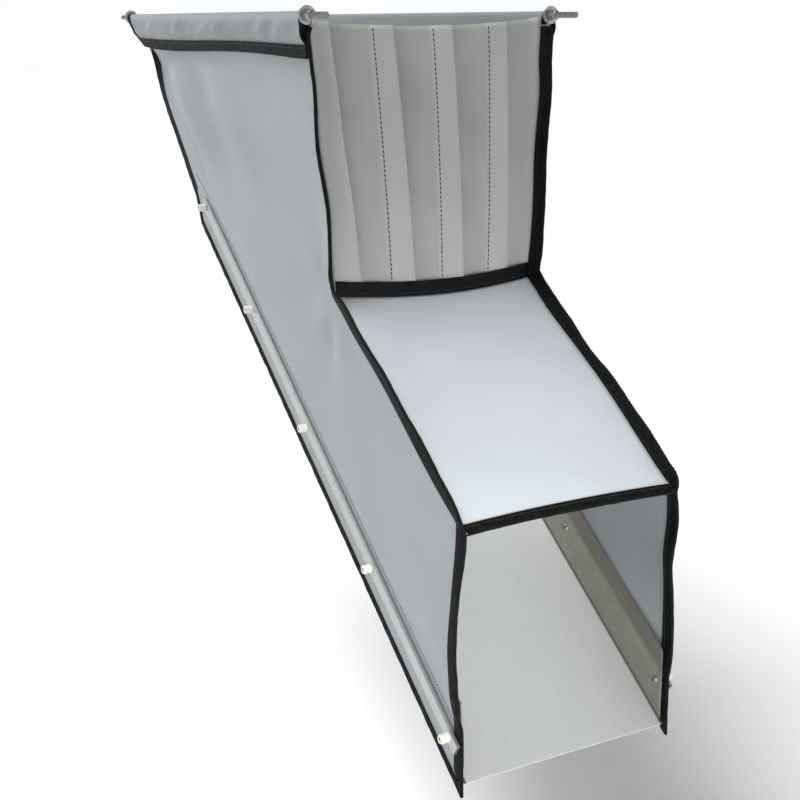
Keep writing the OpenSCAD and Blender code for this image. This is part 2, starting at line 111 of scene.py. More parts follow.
# Side view points are (y, z)
HEAD = np.array([SLEEVE_FRONT + FLANGE - SLEEVE_LIP, 0.0])
FOOT = HEAD - [FRONT_LEAN, HOPPER_H]
ROOF_FRONT = FOOT - [ROOF_RUN, ROOF_RUN * TAN]
BASE = ROOF_FRONT - [0, CHUTE_H / COS]
FLOOR_DIR = np.array([COS, SIN])
UP_DIR = np.array([-SIN, COS])


def along(s, h):
    """The side view point that lies s along the floor and h above it."""
    return BASE + s * FLOOR_DIR + h * UP_DIR


def s_h(y, z):
    """How far along the floor and above it a side view point lies."""
    dy, dz = y - BASE[0], z - BASE[1]
    return dy * COS + dz * SIN, dz * COS - dy * SIN


def unit(v):
    v = np.asarray(v, float)
    return v / np.maximum(np.linalg.norm(v, axis=-1, keepdims=True), 1e-9)


def meet(p, u, q, v):
    """Where the line through p along u meets the line through q along v."""
    w = q - p
    return p + u * (w[0] * v[1] - w[1] * v[0]) / (u[0] * v[1] - u[1] * v[0])


def inward(a, b):
    """The direction square to an edge, to its left."""
    u = unit(b - a)
    return np.array([-u[1], u[0]])


def inset(points, d):
    """A closed outline that turns left, moved inward by d with its corners kept."""
    n = len(points)
    out = []
    for i in range(n):
        a, b, c = points[i - 1], points[i], points[(i + 1) % n]
        out.append(meet(b + inward(a, b) * d, b - a, b + inward(b, c) * d, c - b))
    return out


PANEL_DIR = unit(HEAD - FOOT)
HEM_FRONT, HEM_BACK = along(-TOE, 0), along(HEM_L - TOE, 0)
HEEL = along(HEM_L - TOE + HEEL_L, HEEL_H)
FRONT_DIR = unit(ROOF_FRONT - HEM_FRONT)
REAR_TOP = np.array([HEAD[0] + MOUTH_L + FLANGE, 0.0])
REAR_DIR = unit(REAR_TOP - HEEL)
PANEL_OUT = np.array([-PANEL_DIR[1], PANEL_DIR[0]])
TOP_LINE = np.array([0.0, WALL_TOP])
CORNER = meet(FOOT + PANEL_OUT * FLANGE, PANEL_DIR, FOOT + UP_DIR * FLANGE, FLOOR_DIR)
FRONT_TOP = meet(FOOT + PANEL_OUT * FLANGE, PANEL_DIR, TOP_LINE, np.array([1.0, 0.0]))
BACK_TOP = meet(HEEL, REAR_DIR, TOP_LINE, np.array([1.0, 0.0]))
ROOF_TIP = meet(HEM_FRONT, FRONT_DIR, ROOF_FRONT + UP_DIR * FLANGE, FLOOR_DIR)
OUTLINE = [HEM_FRONT, HEM_BACK, HEEL, BACK_TOP, FRONT_TOP, CORNER, ROOF_TIP]
# The same outline carried on past its top edge, so that the tapes end square under the rods
RUN_ON = 60
TAPE_LINE = list(OUTLINE)
TAPE_LINE[3] = BACK_TOP + REAR_DIR * RUN_ON
TAPE_LINE[4] = FRONT_TOP + PANEL_DIR * RUN_ON
# The outlet's top corner, as a place in the outline, and its radius
TIP, TIP_R = 6, 24.0


def tip_arc(d, start, stop, n=12):
    """The rounded corner at the outlet's top, d inside the outline. start and stop run from 0 at
    the roof's edge to 1 at the outlet's."""
    middle = inset(OUTLINE, TIP_R)[TIP]
    outward = -inward(OUTLINE[TIP - 1], OUTLINE[TIP]), -inward(OUTLINE[TIP], OUTLINE[0])
    turns = [math.atan2(v[1], v[0]) for v in outward]
    turns[1] += 2 * math.pi * (turns[1] < turns[0])
    at = turns[0] + (turns[1] - turns[0]) * np.linspace(start, stop, n)
    return middle + (TIP_R - d) * np.stack([np.cos(at), np.sin(at)], axis=1)


def edge_line(i, d, n=160):
    """Points along edge i of a side wall, d inside it and mitred to the neighbouring edges."""
    line = inset(TAPE_LINE, d)
    a, b = line[i], line[(i + 1) % len(line)]
    gap = unit(b - a) * 0.3
    a, b = a + gap, b - gap
    if i == TIP - 1:
        arc = tip_arc(d, 0, 0.5)
        b = arc[0]
    if i == TIP:
        arc = tip_arc(d, 0.5, 1)
        a = arc[-1]
    limit = WALL_TOP - SEAT
    if a[1] > limit:
        a = a + (b - a) * (limit - a[1]) / (b[1] - a[1])
    if b[1] > limit:
        b = b + (a - b) * (limit - b[1]) / (a[1] - b[1])
    straight = a + (b - a) * np.linspace(0, 1, n)[:, None]
    if i == TIP - 1:
        return np.concatenate([straight, arc[1:]])
    if i == TIP:
        return np.concatenate([arc[:-1], straight])
    return straight


# ---- the cloth's shape ----
def smooth(x, a, b):
    """0 up to a, 1 from b on, and an even rise between."""
    t = np.clip((x - a) / (b - a), 0, 1)
    return t * t * (3 - 2 * t)


def hump(x, middle, width):
    """A bell that is 1 at its middle."""
    return np.exp(-(((x - middle) / width) ** 2))


def rear_line(z):
    """The y of a side wall's rear edge at a height, in its flat shape."""
    return HEEL[0] + (z - HEEL[1]) * REAR_DIR[0] / REAR_DIR[1]


def wall_folds(side, y, z):
    """How far a side wall's cloth stands outward of its flat shape."""
    s, h = s_h(y, z)
    front = s + TOE - h / math.tan(math.pi / 2 - FALL + math.atan2(FRONT_DIR[0], FRONT_DIR[1]))
    free = smooth(h, BAR_TOP + 3, BAR_TOP + 70)
    near_front = np.exp(-np.maximum(front, 0) / 70)
    if side < 0:
        lip = 14 * hump(h, 212, 58) + 8 * hump(h, 98, 24) + 2 * np.sin(h / 17)
        slack = 5.0 * np.sin(s / 118 + 0.6) * np.sin(h / 74 + 0.4)
        slack += 3.2 * np.sin((s + 1.9 * h) / 61 + 1.3)
    else:
        lip = 9 * hump(h, 262, 38) + 9 * hump(h, 128, 48) - 5 * hump(h, 205, 26)
        slack = 4.0 * np.sin(s / 131 + 2.1) * np.sin(h / 66 + 1.4)
        slack += 2.4 * np.sin((s + 1.5 * h) / 57 + 0.2)
    lip = lip * near_front * smooth(h, BAR_TOP + 3, BAR_TOP + 24)
    # Creases that fan out from the foot of the hopper's front
    dy, dz = y - FOOT[0], z - FOOT[1]
    r, turn = np.hypot(dy, dz), np.arctan2(dz, dy)
    star = 6.0 * np.sin(turn * 6 + 0.9 * side) * np.exp(-r / 110) * smooth(r, 25, 90)
    # Long folds that run down and forward from the rear of the sleeve
    across_fold = 0.80 * (y - REAR_TOP[0]) - 0.60 * z
    drag = 13.0 * hump(across_fold, -150, 42) - 9.0 * hump(across_fold, -232, 40)
    drag += 7.0 * hump(across_fold, -330, 52)
    drag *= smooth(-z, 45, 110) * smooth(z, -330, -150)
    # The cloth is drawn in beside the rear edge, with small creases below
    ahead = rear_line(z) - y
    pinch = -13.0 * hump(z, -88, 46) * np.exp(-np.maximum(ahead, 0) / 70)
    creases = np.sin(ahead / 9 + z / 15) * hump(z, -150, 30)
    pinch += 2.2 * creases * np.exp(-np.maximum(ahead, 0) / 30)
    sag = smooth(-z, 52, 95)
    out = (lip + (slack + star + drag) * free) * sag + pinch * smooth(-z, 8, 60)
    # No fold reaches into the tray's sides
    return np.maximum(out, -40 * smooth(h, TRAY_TOP + 2, TRAY_TOP + 90))


def plain_x(y, z):
    """Distance from the middle plane to the inner face of a side wall without its folds."""
    h = s_h(y, z)[1]
    low = HEM_W / 2 + (ROOF_W - HEM_W) / 2 * h / CHUTE_H
    high = ROOF_W / 2 + (SLEEVE_IN - ROOF_W / 2) * (z + HOPPER_H) / HOPPER_H
    return (low + high + np.sqrt((low - high) ** 2 + 0.8)) / 2


def wall_x(side, y, z):
    """Distance from the middle plane to the inner face of a side wall at a side view point."""
    return plain_x(y, z) + wall_folds(side, y, z)


def flange_lean(side, y, z):
    """How a seam allowance stands: the width that stands out past the seam, and its lean from
    upright in radians. It turns down at the outlet's corners and leans out beside the hopper."""
    s, h = s_h(y, z)
    above_roof = h - CHUTE_H
    ahead = (y - FOOT[0]) * PANEL_OUT[0] + (z - FOOT[1]) * PANEL_OUT[1]
    stand = np.clip(np.minimum(above_roof, ahead), 0, FLANGE + 3)
    at_hopper = smooth(above_roof - ahead, -18, 18)
    outlet = np.exp(-np.maximum(s - CHUTE_H * TAN, 0) / 30)
    wave = 7 * np.sin(s / 41 + side) + 5 * np.sin(s / 17.5)
    roof = 9 + (wave if side > 0 else 0.4 * wave) + outlet * (30 if side > 0 else 24)
    hopper = 27 + 3 * np.sin(z / 60)
    degrees = roof * (1 - at_hopper) + hopper * at_hopper * (1 - smooth(z, -30, -4))
    return stand, np.radians(degrees), at_hopper


def slack_rear(y, z):
    """The rear edge is pulled in between the heel and the rods. Returns the point's new y."""
    t = np.clip((z - HEEL[1]) / (REAR_TOP[1] - HEEL[1]), 0, 1)
    behind = np.exp(-np.maximum(rear_line(z) - y, 0) / 130)
    return y - (9 * np.sin(math.pi * t) + 24 * hump(z, -82, 44)) * behind * smooth(t, 0, 0.2)


def wall_point(side, y, z):
    """The middle of a side wall's cloth, as [x, y, z], for arrays of side view points."""
    y, z = np.asarray(y, float), np.asarray(z, float)
    stand, lean, at_hopper = flange_lean(side, y, z)
    x = wall_x(side, y, z) + CLOTH / 2 + stand * np.sin(lean)
    drop = stand * (1 - np.cos(lean))
    down_y = -UP_DIR[0] * (1 - at_hopper) - PANEL_OUT[0] * at_hopper
    down_z = -UP_DIR[1] * (1 - at_hopper) - PANEL_OUT[1] * at_hopper
    return np.stack([side * x, slack_rear(y, z) + drop * down_y, z + drop * down_z], axis=-1)


# ---- making pieces ----
def add(name, data):
    """A new object in the scene."""
    item = bpy.data.objects.new(name, data)
    bpy.context.scene.collection.objects.link(item)
    return item


def make(name, points, faces, material, slot, body="chute", lay=None, sharp=40, closed=True):
    """A piece from points in millimetres. lay gives each point its place on the flat cloth, for
    the material. An open sheet is given the cloth's thickness."""
    mesh = bpy.data.meshes.new(name)
    points = np.asarray(points, float).reshape(-1, 3)
    mesh.from_pydata((points * MM).tolist(), [], [list(map(int, f)) for f in faces])
    mesh.validate()
    if lay is not None:
        store = mesh.attributes.new("lay", "FLOAT_VECTOR", "POINT")
        lay = np.asarray(lay, float).reshape(len(points), -1)
        lay = np.pad(lay, ((0, 0), (0, 3 - lay.shape[1])))
        store.data.foreach_set("vector", (lay * MM).ravel())
    bm = bmesh.new()
    bm.from_mesh(mesh)
    bmesh.ops.recalc_face_normals(bm, faces=bm.faces)
    bm.to_mesh(mesh)
    bm.free()
    mesh.shade_smooth()
    mesh.set_sharp_from_angle(angle=math.radians(sharp))
    piece = add(name, mesh)
    mesh.materials.append(material)
    if not closed:
        skin = piece.modifiers.new("thickness", "SOLIDIFY")
        skin.thickness = CLOTH * MM
        skin.offset = 0
    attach(piece, body)
    return piece


def grid_faces(rows, columns, wrap=False, first=0):
    """Quads of a grid whose points run along its columns. wrap joins the last column back."""
    faces = []
    for i in range(rows - 1):
        for j in range(columns if wrap else columns - 1):
            k = (j + 1) % columns
            a = first + i * columns
            faces.append([a + j, a + k, a + columns + k, a + columns + j])
    return faces


def tube_faces(rows, columns, first=0):
    """A closed tube with flat ends."""
    faces = grid_faces(rows, columns, wrap=True, first=first)
    last = first + (rows - 1) * columns
    faces.append(list(range(first + columns - 1, first - 1, -1)))
    faces.append(list(range(last, last + columns)))
    return faces


# ---- materials ----
class Paint:
    """A node material that is filled in step by step."""

    def __init__(self, name, metallic=0.0, sheen=0.0, coat=0.0, specular=0.5):
        self.material = bpy.data.materials.new(name)
        self.material.use_nodes = True
        self.tree = self.material.node_tree
        self.bsdf = self.tree.nodes["Principled BSDF"]
        self.bsdf.inputs["Metallic"].default_value = metallic
        self.bsdf.inputs["Sheen Weight"].default_value = sheen
        self.bsdf.inputs["Coat Weight"].default_value = coat
        self.bsdf.inputs["Coat Roughness"].default_value = 0.3
        self.bsdf.inputs["Specular IOR Level"].default_value = specular
        self.height = None

    def feed(self, socket, value):
        """Links a socket to another node's output, or sets its value."""
        if isinstance(value, bpy.types.NodeSocket):
            self.tree.links.new(value, socket)
        else:
            socket.default_value = value

    def node(self, kind, **inputs):
        node = self.tree.nodes.new(kind)
        for name, value in inputs.items():
            self.feed(node.inputs[name.replace("_", " ")], value)
        return node

    def combine(self, operation, *values):
        node = self.tree.nodes.new("ShaderNodeMath")
        node.operation = operation
        for socket, value in zip(node.inputs, values):
            self.feed(socket, value)
        return node.outputs["Value"]

    def lay(self, scale=(1, 1, 1)):
        attribute = self.node("ShaderNodeAttribute")
        attribute.attribute_name = "lay"
        mapping = self.node("ShaderNodeMapping", Vector=attribute.outputs["Vector"], Scale=scale)
        return mapping.outputs["Vector"]

    def place(self, scale=(1, 1, 1), turn=0.0):
        coordinates = self.node("ShaderNodeTexCoord")
        turned = self.node(
            "ShaderNodeMapping", Vector=coordinates.outputs["Object"], Rotation=(turn, 0, 0)
        )
        mapping = self.node("ShaderNodeMapping", Vector=turned.outputs["Vector"], Scale=scale)
        return mapping.outputs["Vector"]

    def noise(self, vector, scale, detail=4.0, distortion=0.0):
        node = self.node(
            "ShaderNodeTexNoise", Vector=vector, Scale=scale, Detail=detail, Distortion=distortion
        )
        return node.outputs["Fac"]

    def waves(self, vector, scale, direction="X", distortion=0.0):
        node = self.node("ShaderNodeTexWave", Vector=vector, Scale=scale, Distortion=distortion)
        node.bands_direction = direction
        return node.outputs["Fac"]

    def spread(self, factor, low, high, start=0.3, stop=0.7):
        """Maps start to stop of factor onto low to high."""
        node = self.node(
            "ShaderNodeMapRange", Value=factor, From_Min=start, From_Max=stop, To_Min=low, To_Max=high
        )
        return node.outputs["Result"]

    def blend(self, factor, a, b):
        node = self.tree.nodes.new("ShaderNodeMix")
        node.data_type = "RGBA"
        for place, value in ((0, factor), (6, a), (7, b)):
            self.feed(node.inputs[place], value)
        return node.outputs[2]

    def colour(self, value):
        self.feed(self.bsdf.inputs["Base Color"], value)

    def rough(self, value):
        self.feed(self.bsdf.inputs["Roughness"], value)

    def bump(self, height, strength, depth_mm):
        node = self.node("ShaderNodeBump", Strength=strength, Distance=depth_mm * MM, Height=height)
        if self.height is not None:
            self.tree.links.new(self.height, node.inputs["Normal"])
        self.height = node.outputs["Normal"]
        self.tree.links.new(self.height, self.bsdf.inputs["Normal"])


def rgba(r, g, b, less=0, scale=1):
    """A colour given as it looks on a screen, 0 to 255, darkened by less or by scale."""
    shown = [c * scale - less for c in (r, g, b)]
    line = [c / 255 / 12.92 if c <= 10 else ((c / 255 + 0.055) / 1.055) ** 2.4 for c in shown]
    return (*line, 1.0)


def coated_fabric(name, colour, darker, rough):
    """Coated cloth: a fine plain weave under a smooth skin, with soft creases and handling marks."""
    p = Paint(name, sheen=0.12, coat=0.08, specular=0.4)
    lay = p.lay()
    marks = p.noise(lay, 7, 5, 0.6)
    dust = p.noise(lay, 42, 6)
    tone = p.blend(p.spread(marks, 0, 1), rgba(*darker), rgba(*colour))
    tone = p.blend(p.spread(dust, 0, 0.10, 0.35, 0.8), tone, rgba(*darker))
    # The third lay coordinate is 1 where shade is painted in, on the sleeves and in the pleats' valleys:
    # there the cloth is darkened towards 0.80 of its colour, in patches
    worn = p.node("ShaderNodeSeparateXYZ", Vector=lay).outputs["Z"]
    patches = p.spread(p.noise(p.lay((1, 1, 0)), 11, 3, 0.8), 0.55, 1.0)
    p.colour(p.blend(p.combine("MULTIPLY", worn, patches), tone, rgba(*colour, scale=0.80)))
    p.rough(p.spread(marks, rough - 0.06, rough + 0.08))
    p.bump(p.blend(0.5, p.waves(lay, 240, "X"), p.waves(lay, 240, "Y")), 0.10, 0.10)
    p.bump(p.noise(p.lay((1, 2.2, 1)), 16, 3, 1.2), 0.20, 1.1)
    p.bump(dust, 0.06, 0.15)
    return p.material


def binding_tape(name, across):
    """Black coated tape, ribbed across, dulled on its ridges."""
    p = Paint(name, coat=0.02, specular=0.10)
    lay = p.lay()
    wear = p.noise(lay, 90, 5)
    p.colour(p.blend(p.spread(wear, 0, 1, 0.45, 0.75), rgba(12, 13, 12), rgba(25, 27, 24)))
    p.rough(p.spread(wear, 0.50, 0.72))
    p.bump(p.waves(lay, across, "X", 0.6), 0.12, 0.2)
    p.bump(p.waves(lay, 190, "Y"), 0.15, 0.15)
    p.bump(wear, 0.12, 0.3)
    return p.material


def sheet_steel(name, colour, turn, rough, metallic):
    """Matt rolled stainless sheet: long faint streaks, a few fine scratches and finger marks."""
    p = Paint(name, metallic=metallic)
    streaks = p.noise(p.place((900, 9, 9), turn), 1.0, 4)
    cloud = p.noise(p.place(turn=turn), 9, 4, 0.5)
    marks = p.noise(p.place(turn=turn), 38, 6, 1.5)
    tone = p.blend(p.spread(streaks, 0, 1), rgba(*colour, less=5), rgba(*colour))
    p.colour(p.blend(p.spread(marks, 0, 0.12, 0.55, 0.8), tone, rgba(*colour, less=40)))
    p.rough(p.spread(cloud, rough - 0.05, rough + 0.12))
    p.bump(streaks, 0.05, 0.05)
    p.bump(cloud, 0.05, 1.5)
    return p


def tray_steel():
    """The tray's sheet. Its turned-up sides carry a painted reflection: darker than its floor,
    lighter below a line where they would mirror the floor and darker above it. Painted shade darkens the
    bends at the floor."""
    p = sheet_steel("tray_steel", (230, 232, 231), FALL, 0.42, 0.26)
    floor_colour = p.bsdf.inputs["Base Color"].links[0].from_socket
    level = p.node("ShaderNodeSeparateXYZ", Vector=p.place(turn=-FALL)).outputs
    across = p.combine("ABSOLUTE", level["X"])
    # The second number is the height above the floor, in mm, where the sides' painted reflection turns
    # from light to dark
    sheet, reflection_edge = 2, 58
    inner = mm_box("floor_tray")[1][0] - sheet
    floor_z = -SIN * BASE[0] + COS * BASE[1] + FLOOR_TOP

    def rise(factor, base, start, stop, low=0.0, high=1.0):
        return p.spread(factor, low, high, (base + start) * MM, (base + stop) * MM)

    # Painted reflection on the sides: lighter below that height, darker above it
    high = rise(level["Z"], floor_z + reflection_edge, -5, 3)
    side_painted_reflection = p.blend(high, rgba(158, 156, 145), rgba(118, 116, 106))
    mottle = p.spread(p.noise(p.place(), 30, 5, 1.2), 0, 0.5)
    side_painted_reflection = p.blend(mottle, side_painted_reflection, rgba(134, 130, 118))
    tone = p.blend(rise(across, inner, -0.6, -0.2), floor_colour, side_painted_reflection)
    # Painted shade: a dark line along the bends at the floor
    bend_shade = rise(across, inner, -3.2, -1.2, 0, 0.85)
    low = rise(level["Z"], floor_z, 1.0, 2.6, 1, 0)
    p.colour(p.blend(p.combine("MULTIPLY", bend_shade, low), tone, rgba(74, 73, 66)))
    return p.material


def plated_steel(name, colour, rough):
    """Bright zinc plating with a faint uneven passivated bloom and a fine grain."""
    p = Paint(name, metallic=1.0)
    bloom = p.noise(p.place(), 160, 4)
    grain = p.noise(p.place(), 900, 3)
    p.colour(p.blend(p.spread(bloom, 0, 1), rgba(*colour), rgba(*colour, less=26)))
    p.rough(p.spread(grain, rough - 0.06, rough + 0.14))
    p.bump(grain, 0.08, 0.05)
    return p.material


def moulded_nylon(name, colour):
    """Satin moulded plastic, slightly cloudy."""
    p = Paint(name, specular=0.45)
    cloud = p.noise(p.place(), 220, 4)
    p.colour(p.blend(p.spread(cloud, 0, 1), rgba(*colour), rgba(*colour, less=16)))
    p.rough(p.spread(cloud, 0.38, 0.52))
    p.bump(p.noise(p.place(), 1400, 2), 0.06, 0.05)
    return p.material


def thread(name, colour):
    """Matt spun thread."""
    p = Paint(name, sheen=0.3, specular=0.3)
    fuzz = p.noise(p.place(), 2600, 3)
    p.colour(p.blend(p.spread(fuzz, 0, 1), rgba(*colour), rgba(*colour, scale=0.6)))
    p.rough(0.62)
    p.bump(fuzz, 0.3, 0.1)
    return p.material


# One fabric in three copies: the walls' cloth is painted darker than the roof's as painted shade, and the
# hopper's is painted darker and warmer than the roof's as painted shade and painted bounce light
SHADED_WALL_CLOTH = coated_fabric("wall_cloth", (156, 163, 166), (146, 153, 156), 0.5)
ROOF_CLOTH = coated_fabric("roof_cloth", (198, 204, 209), (191, 197, 202), 0.46)
SHADED_HOPPER_CLOTH = coated_fabric("hopper_cloth", (184, 186, 182), (173, 175, 171), 0.52)
BINDING = binding_tape("binding_tape", 78)
RIB_BINDING = binding_tape("ribbed_binding_tape", 56)
TRAY_STEEL = tray_steel()
BAR_STEEL = sheet_steel("bar_steel", (192, 194, 192), FALL, 0.30, 0.88).material
ZINC = plated_steel("zinc_plate", (178, 180, 179), 0.36)
ZINC_DARK = plated_steel("zinc_thread", (152, 152, 147), 0.42)
SCREW = plated_steel("screw_steel", (186, 186, 182), 0.30)
NYLON = moulded_nylon("sleeve_nut_nylon", (226, 226, 216))
INSERT = moulded_nylon("lock_insert_nylon", (58, 60, 62))
THREAD = thread("sewing_thread", (30, 32, 32))


# ---- side walls with their sleeves ----
CELL = 9.0
SLEEVE_ROWS = 26


def inside_by(points, polygon):
    """Signed distance of side view points to a polygon's edge, positive inside."""
    points = np.asarray(points)
    dist = np.full(len(points), 1e9)
    odd = np.zeros(len(points), bool)
    for a, b in zip(polygon, polygon[1:] + polygon[:1]):
        e = b - a
        t = np.clip(((points - a) @ e) / (e @ e), 0, 1)
        dist = np.minimum(dist, np.linalg.norm(points - (a + t[:, None] * e), axis=1))
        crosses = (a[1] > points[:, 1]) != (b[1] > points[:, 1])
        with np.errstate(divide="ignore", invalid="ignore"):
            x = a[0] + (points[:, 1] - a[1]) * e[0] / e[1]
        odd ^= crosses & (points[:, 0] < x)
    return np.where(odd, dist, -dist)


def sleeve_middle(side, f, t):
    """The middle of the sleeve's cloth. f runs from the front to the back of the sleeve, and t
    from the wall's top edge over the rod to the flap's free edge."""
    r = BORE_R + CLOTH / 2 + 0.05
    y = SLEEVE_FRONT + (SLEEVE_BACK - SLEEVE_FRONT) * f
    leg_foot = wall_x(side, y, WALL_TOP) + CLOTH / 2
    leg, arc = -WALL_TOP, math.pi * r
    d = t * (leg + arc + FLAP_L)
    if d < leg:
        k = d / leg
        return np.array([side * (leg_foot * (1 - k) + (ROD_X - r) * k), y, WALL_TOP * (1 - k)])
    if d < leg + arc:
        turn = math.pi - (d - leg) / r
        return np.array([side * (ROD_X + r * math.cos(turn)), y, r * math.sin(turn)])
    k = (d - leg - arc) / FLAP_L
    z = -FLAP_L * k
    # The flap's rear end is cut back to lie along the wall's rear edge
    y_back = float(slack_rear(rear_line(z), z)) - 1.0
    y_back = SLEEVE_BACK * (1 - k) + (y_back + 3) * k if k < 1 else y_back + 3
    y = SLEEVE_FRONT + (y_back - SLEEVE_FRONT) * f
    wall = wall_point(side, y, z)
    clear = CLOTH + 2 * TAPE_OUT + 3 * SEAT
    wander = 2.4 * math.sin(y / 71 + 1.3 * side) + 1.2 * math.sin(y / 31 - side)
    swell = 0.65 + 0.45 * math.sin(y / 128 + 2.2 + side)
    ripple = 2.9 * swell * math.sin((y + 2.2 * z) / 21 + side + wander)
    ripple += 2.1 * math.sin((y + 1.3 * z) / 52 + 2 + 0.5 * wander)
    ripple += 1.0 * (1.1 - swell) * math.sin((y + 3.0 * z) / 10.5 + 2 * side + wander)
    # The strip under the binding tape lies flat against the wall
    free = min(k / (1 - (TAPE_W + 1) / FLAP_L), 1)
    puff = (3.4 + ripple) * math.sin(math.pi * free) ** 0.8
    blend = float(smooth(free, 0, 1))
    x = (ROD_X + r) * (1 - blend) + (abs(wall[0]) + clear) * blend + max(puff, 0)
    sag = 3.0 * math.sin((y - 60) / 130) * k * k * smooth(min(f, 1 - f), 0, 0.12)
    return np.array([side * x, y, z - 1.0 * k + float(sag)])


def side_wall(name, side):
    """One sheet from the hem up over the rod and down again as the sleeve's flap."""
    polygon = OUTLINE[:TIP] + list(tip_arc(0, 0, 1, 9))
    points, spans = [], {}
    for i, (a, b) in enumerate(zip(polygon, polygon[1:] + polygon[:1])):
        n = max(2, int(np.linalg.norm(b - a) / CELL))
        spans[i] = (len(points), n)
        points += [a + (b - a) * k / n for k in range(n)]
    edges = [(i, (i + 1) % len(points)) for i in range(len(points))]
    border = len(points)
    seam = inset(polygon, FLANGE + SEAT)
    for a, b in ((seam[6], seam[5]), (seam[5], seam[4])):
        n = int(np.linalg.norm(b - a) / CELL)
        line = [a + (b - a) * k / n for k in range(1, n)]
        edges += [(len(points) + k, len(points) + k + 1) for k in range(len(line) - 1)]
        points += line
    fixed = np.array(points[border:])
    # Points inside lie on a triangular grid, clear of the edge and of the seam line
    lo, hi = np.min(polygon, axis=0), np.max(polygon, axis=0)
    grid = [
        [y + (row % 2) * CELL / 2, z]
        for row, z in enumerate(np.arange(lo[1], hi[1], CELL * 0.87))
        for y in np.arange(lo[0], hi[0], CELL)
    ]
    grid = np.array(grid)
    grid = grid[inside_by(grid, polygon) > CELL * 0.55]
    near = np.min(np.linalg.norm(grid[:, None] - fixed[None], axis=2), axis=1)
    points += list(grid[near > CELL * 0.6])
    found, _, triangles, came_from, _, _ = geometry.delaunay_2d_cdt(
        [Vector(p) for p in points], edges, [], 1, 1e-4
    )
    new_index = {old: new for new, olds in enumerate(came_from) for old in olds}
    flat = np.array([list(p) for p in found])
    shape = list(wall_point(side, flat[:, 0], flat[:, 1]))
    s, h = s_h(flat[:, 0], flat[:, 1])
    lay = [[a, b, 0.0] for a, b in zip(s, h)]
    faces = [list(f) for f in triangles]
    start, n = spans[3]
    top = [new_index[start + k] for k in range(n)] + [new_index[spans[4][0]]]
    top.reverse()
    y_top = np.array([shape[i][1] for i in top])
    columns = len(top)
    previous = top
    for row in range(1, SLEEVE_ROWS):
        t = row / (SLEEVE_ROWS - 1)
        ease = float(smooth(t, 0, 0.25))
        current = []
        for j in range(columns):
            f = j / (columns - 1)
            p = sleeve_middle(side, f, t)
            p[1] = y_top[j] * (1 - ease) + p[1] * ease
            current.append(len(shape))
            shape.append(p)
            # Painted shade over the back of the rod and down the sleeve's flap, carried in the lay's third
            # coordinate
            worn = float(smooth(t, 0.34, 0.5)) / MM
            lay.append([lay[top[j]][0], lay[top[j]][1] + t * SLEEVE_WRAP, worn])
        for j in range(columns - 1):
            faces.append([previous[j], previous[j + 1], current[j + 1], current[j]])
        previous = current
    return make(name, shape, faces, SHADED_WALL_CLOTH, "wall_fabric", lay=lay, closed=False, sharp=60)


# ---- panels across the chute ----
# How far the roof's rear edge bows forward, and how high its front edge arches
SEAM_BOW, ARCH = 17, 7
STITCH_RISE = 0.62


def roof_point(u, v):
    """The middle of the roof's cloth. u runs -1 to 1 across it and v 0 to 1 from the outlet."""
    u, v = np.broadcast_arrays(np.asarray(u, float), np.asarray(v, float))
    bow = 1 - u * u
    run = v * (ROOF_RUN / COS - SEAM_BOW * bow * v ** 3)
    swell = ARCH * hump(v, 0, 0.28) - 5 * hump(v, 0.5, 0.3) + 1.5 * hump(v, 1, 0.2)
    ripple = 1.2 * np.sin(v * 9 + u * 2.5) * np.sin(u * 3.1 + 1) + 0.8 * np.sin(v * 17 - u * 5)
    h = CHUTE_H - CLOTH / 2 + (swell + ripple * 0.8) * bow ** 0.8
    s0 = CHUTE_H * TAN
    y = BASE[0] + (s0 + run) * COS - h * SIN
    z = BASE[1] + (s0 + run) * SIN + h * COS
    y_flat = BASE[0] + (s0 + run) * COS - CHUTE_H * SIN
    z_flat = BASE[1] + (s0 + run) * SIN + CHUTE_H * COS
    left, right = (wall_x(side, y_flat, z_flat) - PANEL_GAP for side in (-1, 1))
    x = (right * (1 + u) - left * (1 - u)) / 2
    return np.stack([x, y, z], axis=-1)


def panel_foot_point(u):
    """The front panel's foot, which stands on the roof's rear edge."""
    return roof_point(u, 1.0) + np.array([0, 0.8, 1.4])


def front_panel_point(x_share, t, depth):
    """The hopper's front panel. x_share runs -1 to 1, t 0 to 1 up, depth in mm behind its face."""
    foot = panel_foot_point(x_share)
    head_z = -1.0 - 11.0 * (1 - x_share ** 2) ** 0.8 - 3 * (1 - x_share) / 2
    head_y = FOOT[0] + (head_z - FOOT[1]) * PANEL_DIR[0] / PANEL_DIR[1]
    p = foot * (1 - t) + np.array([0.0, head_y, head_z]) * t
    z = p[2]
    y_line = FOOT[0] + (z - FOOT[1]) * PANEL_DIR[0] / PANEL_DIR[1]
    side = 1 if x_share > 0 else -1
    p[0] = (plain_x(y_line, z) - PANEL_GAP) * x_share + side * wall_folds(side, y_line, z) * x_share ** 6
    bulge = (9 * math.sin(math.pi * t) ** 0.8 + 12 * t * t) * (1 - x_share ** 2)
    away = np.array([0, -PANEL_OUT[0], -PANEL_OUT[1]])
    return p + away * (depth + CLOTH / 2 - bulge)


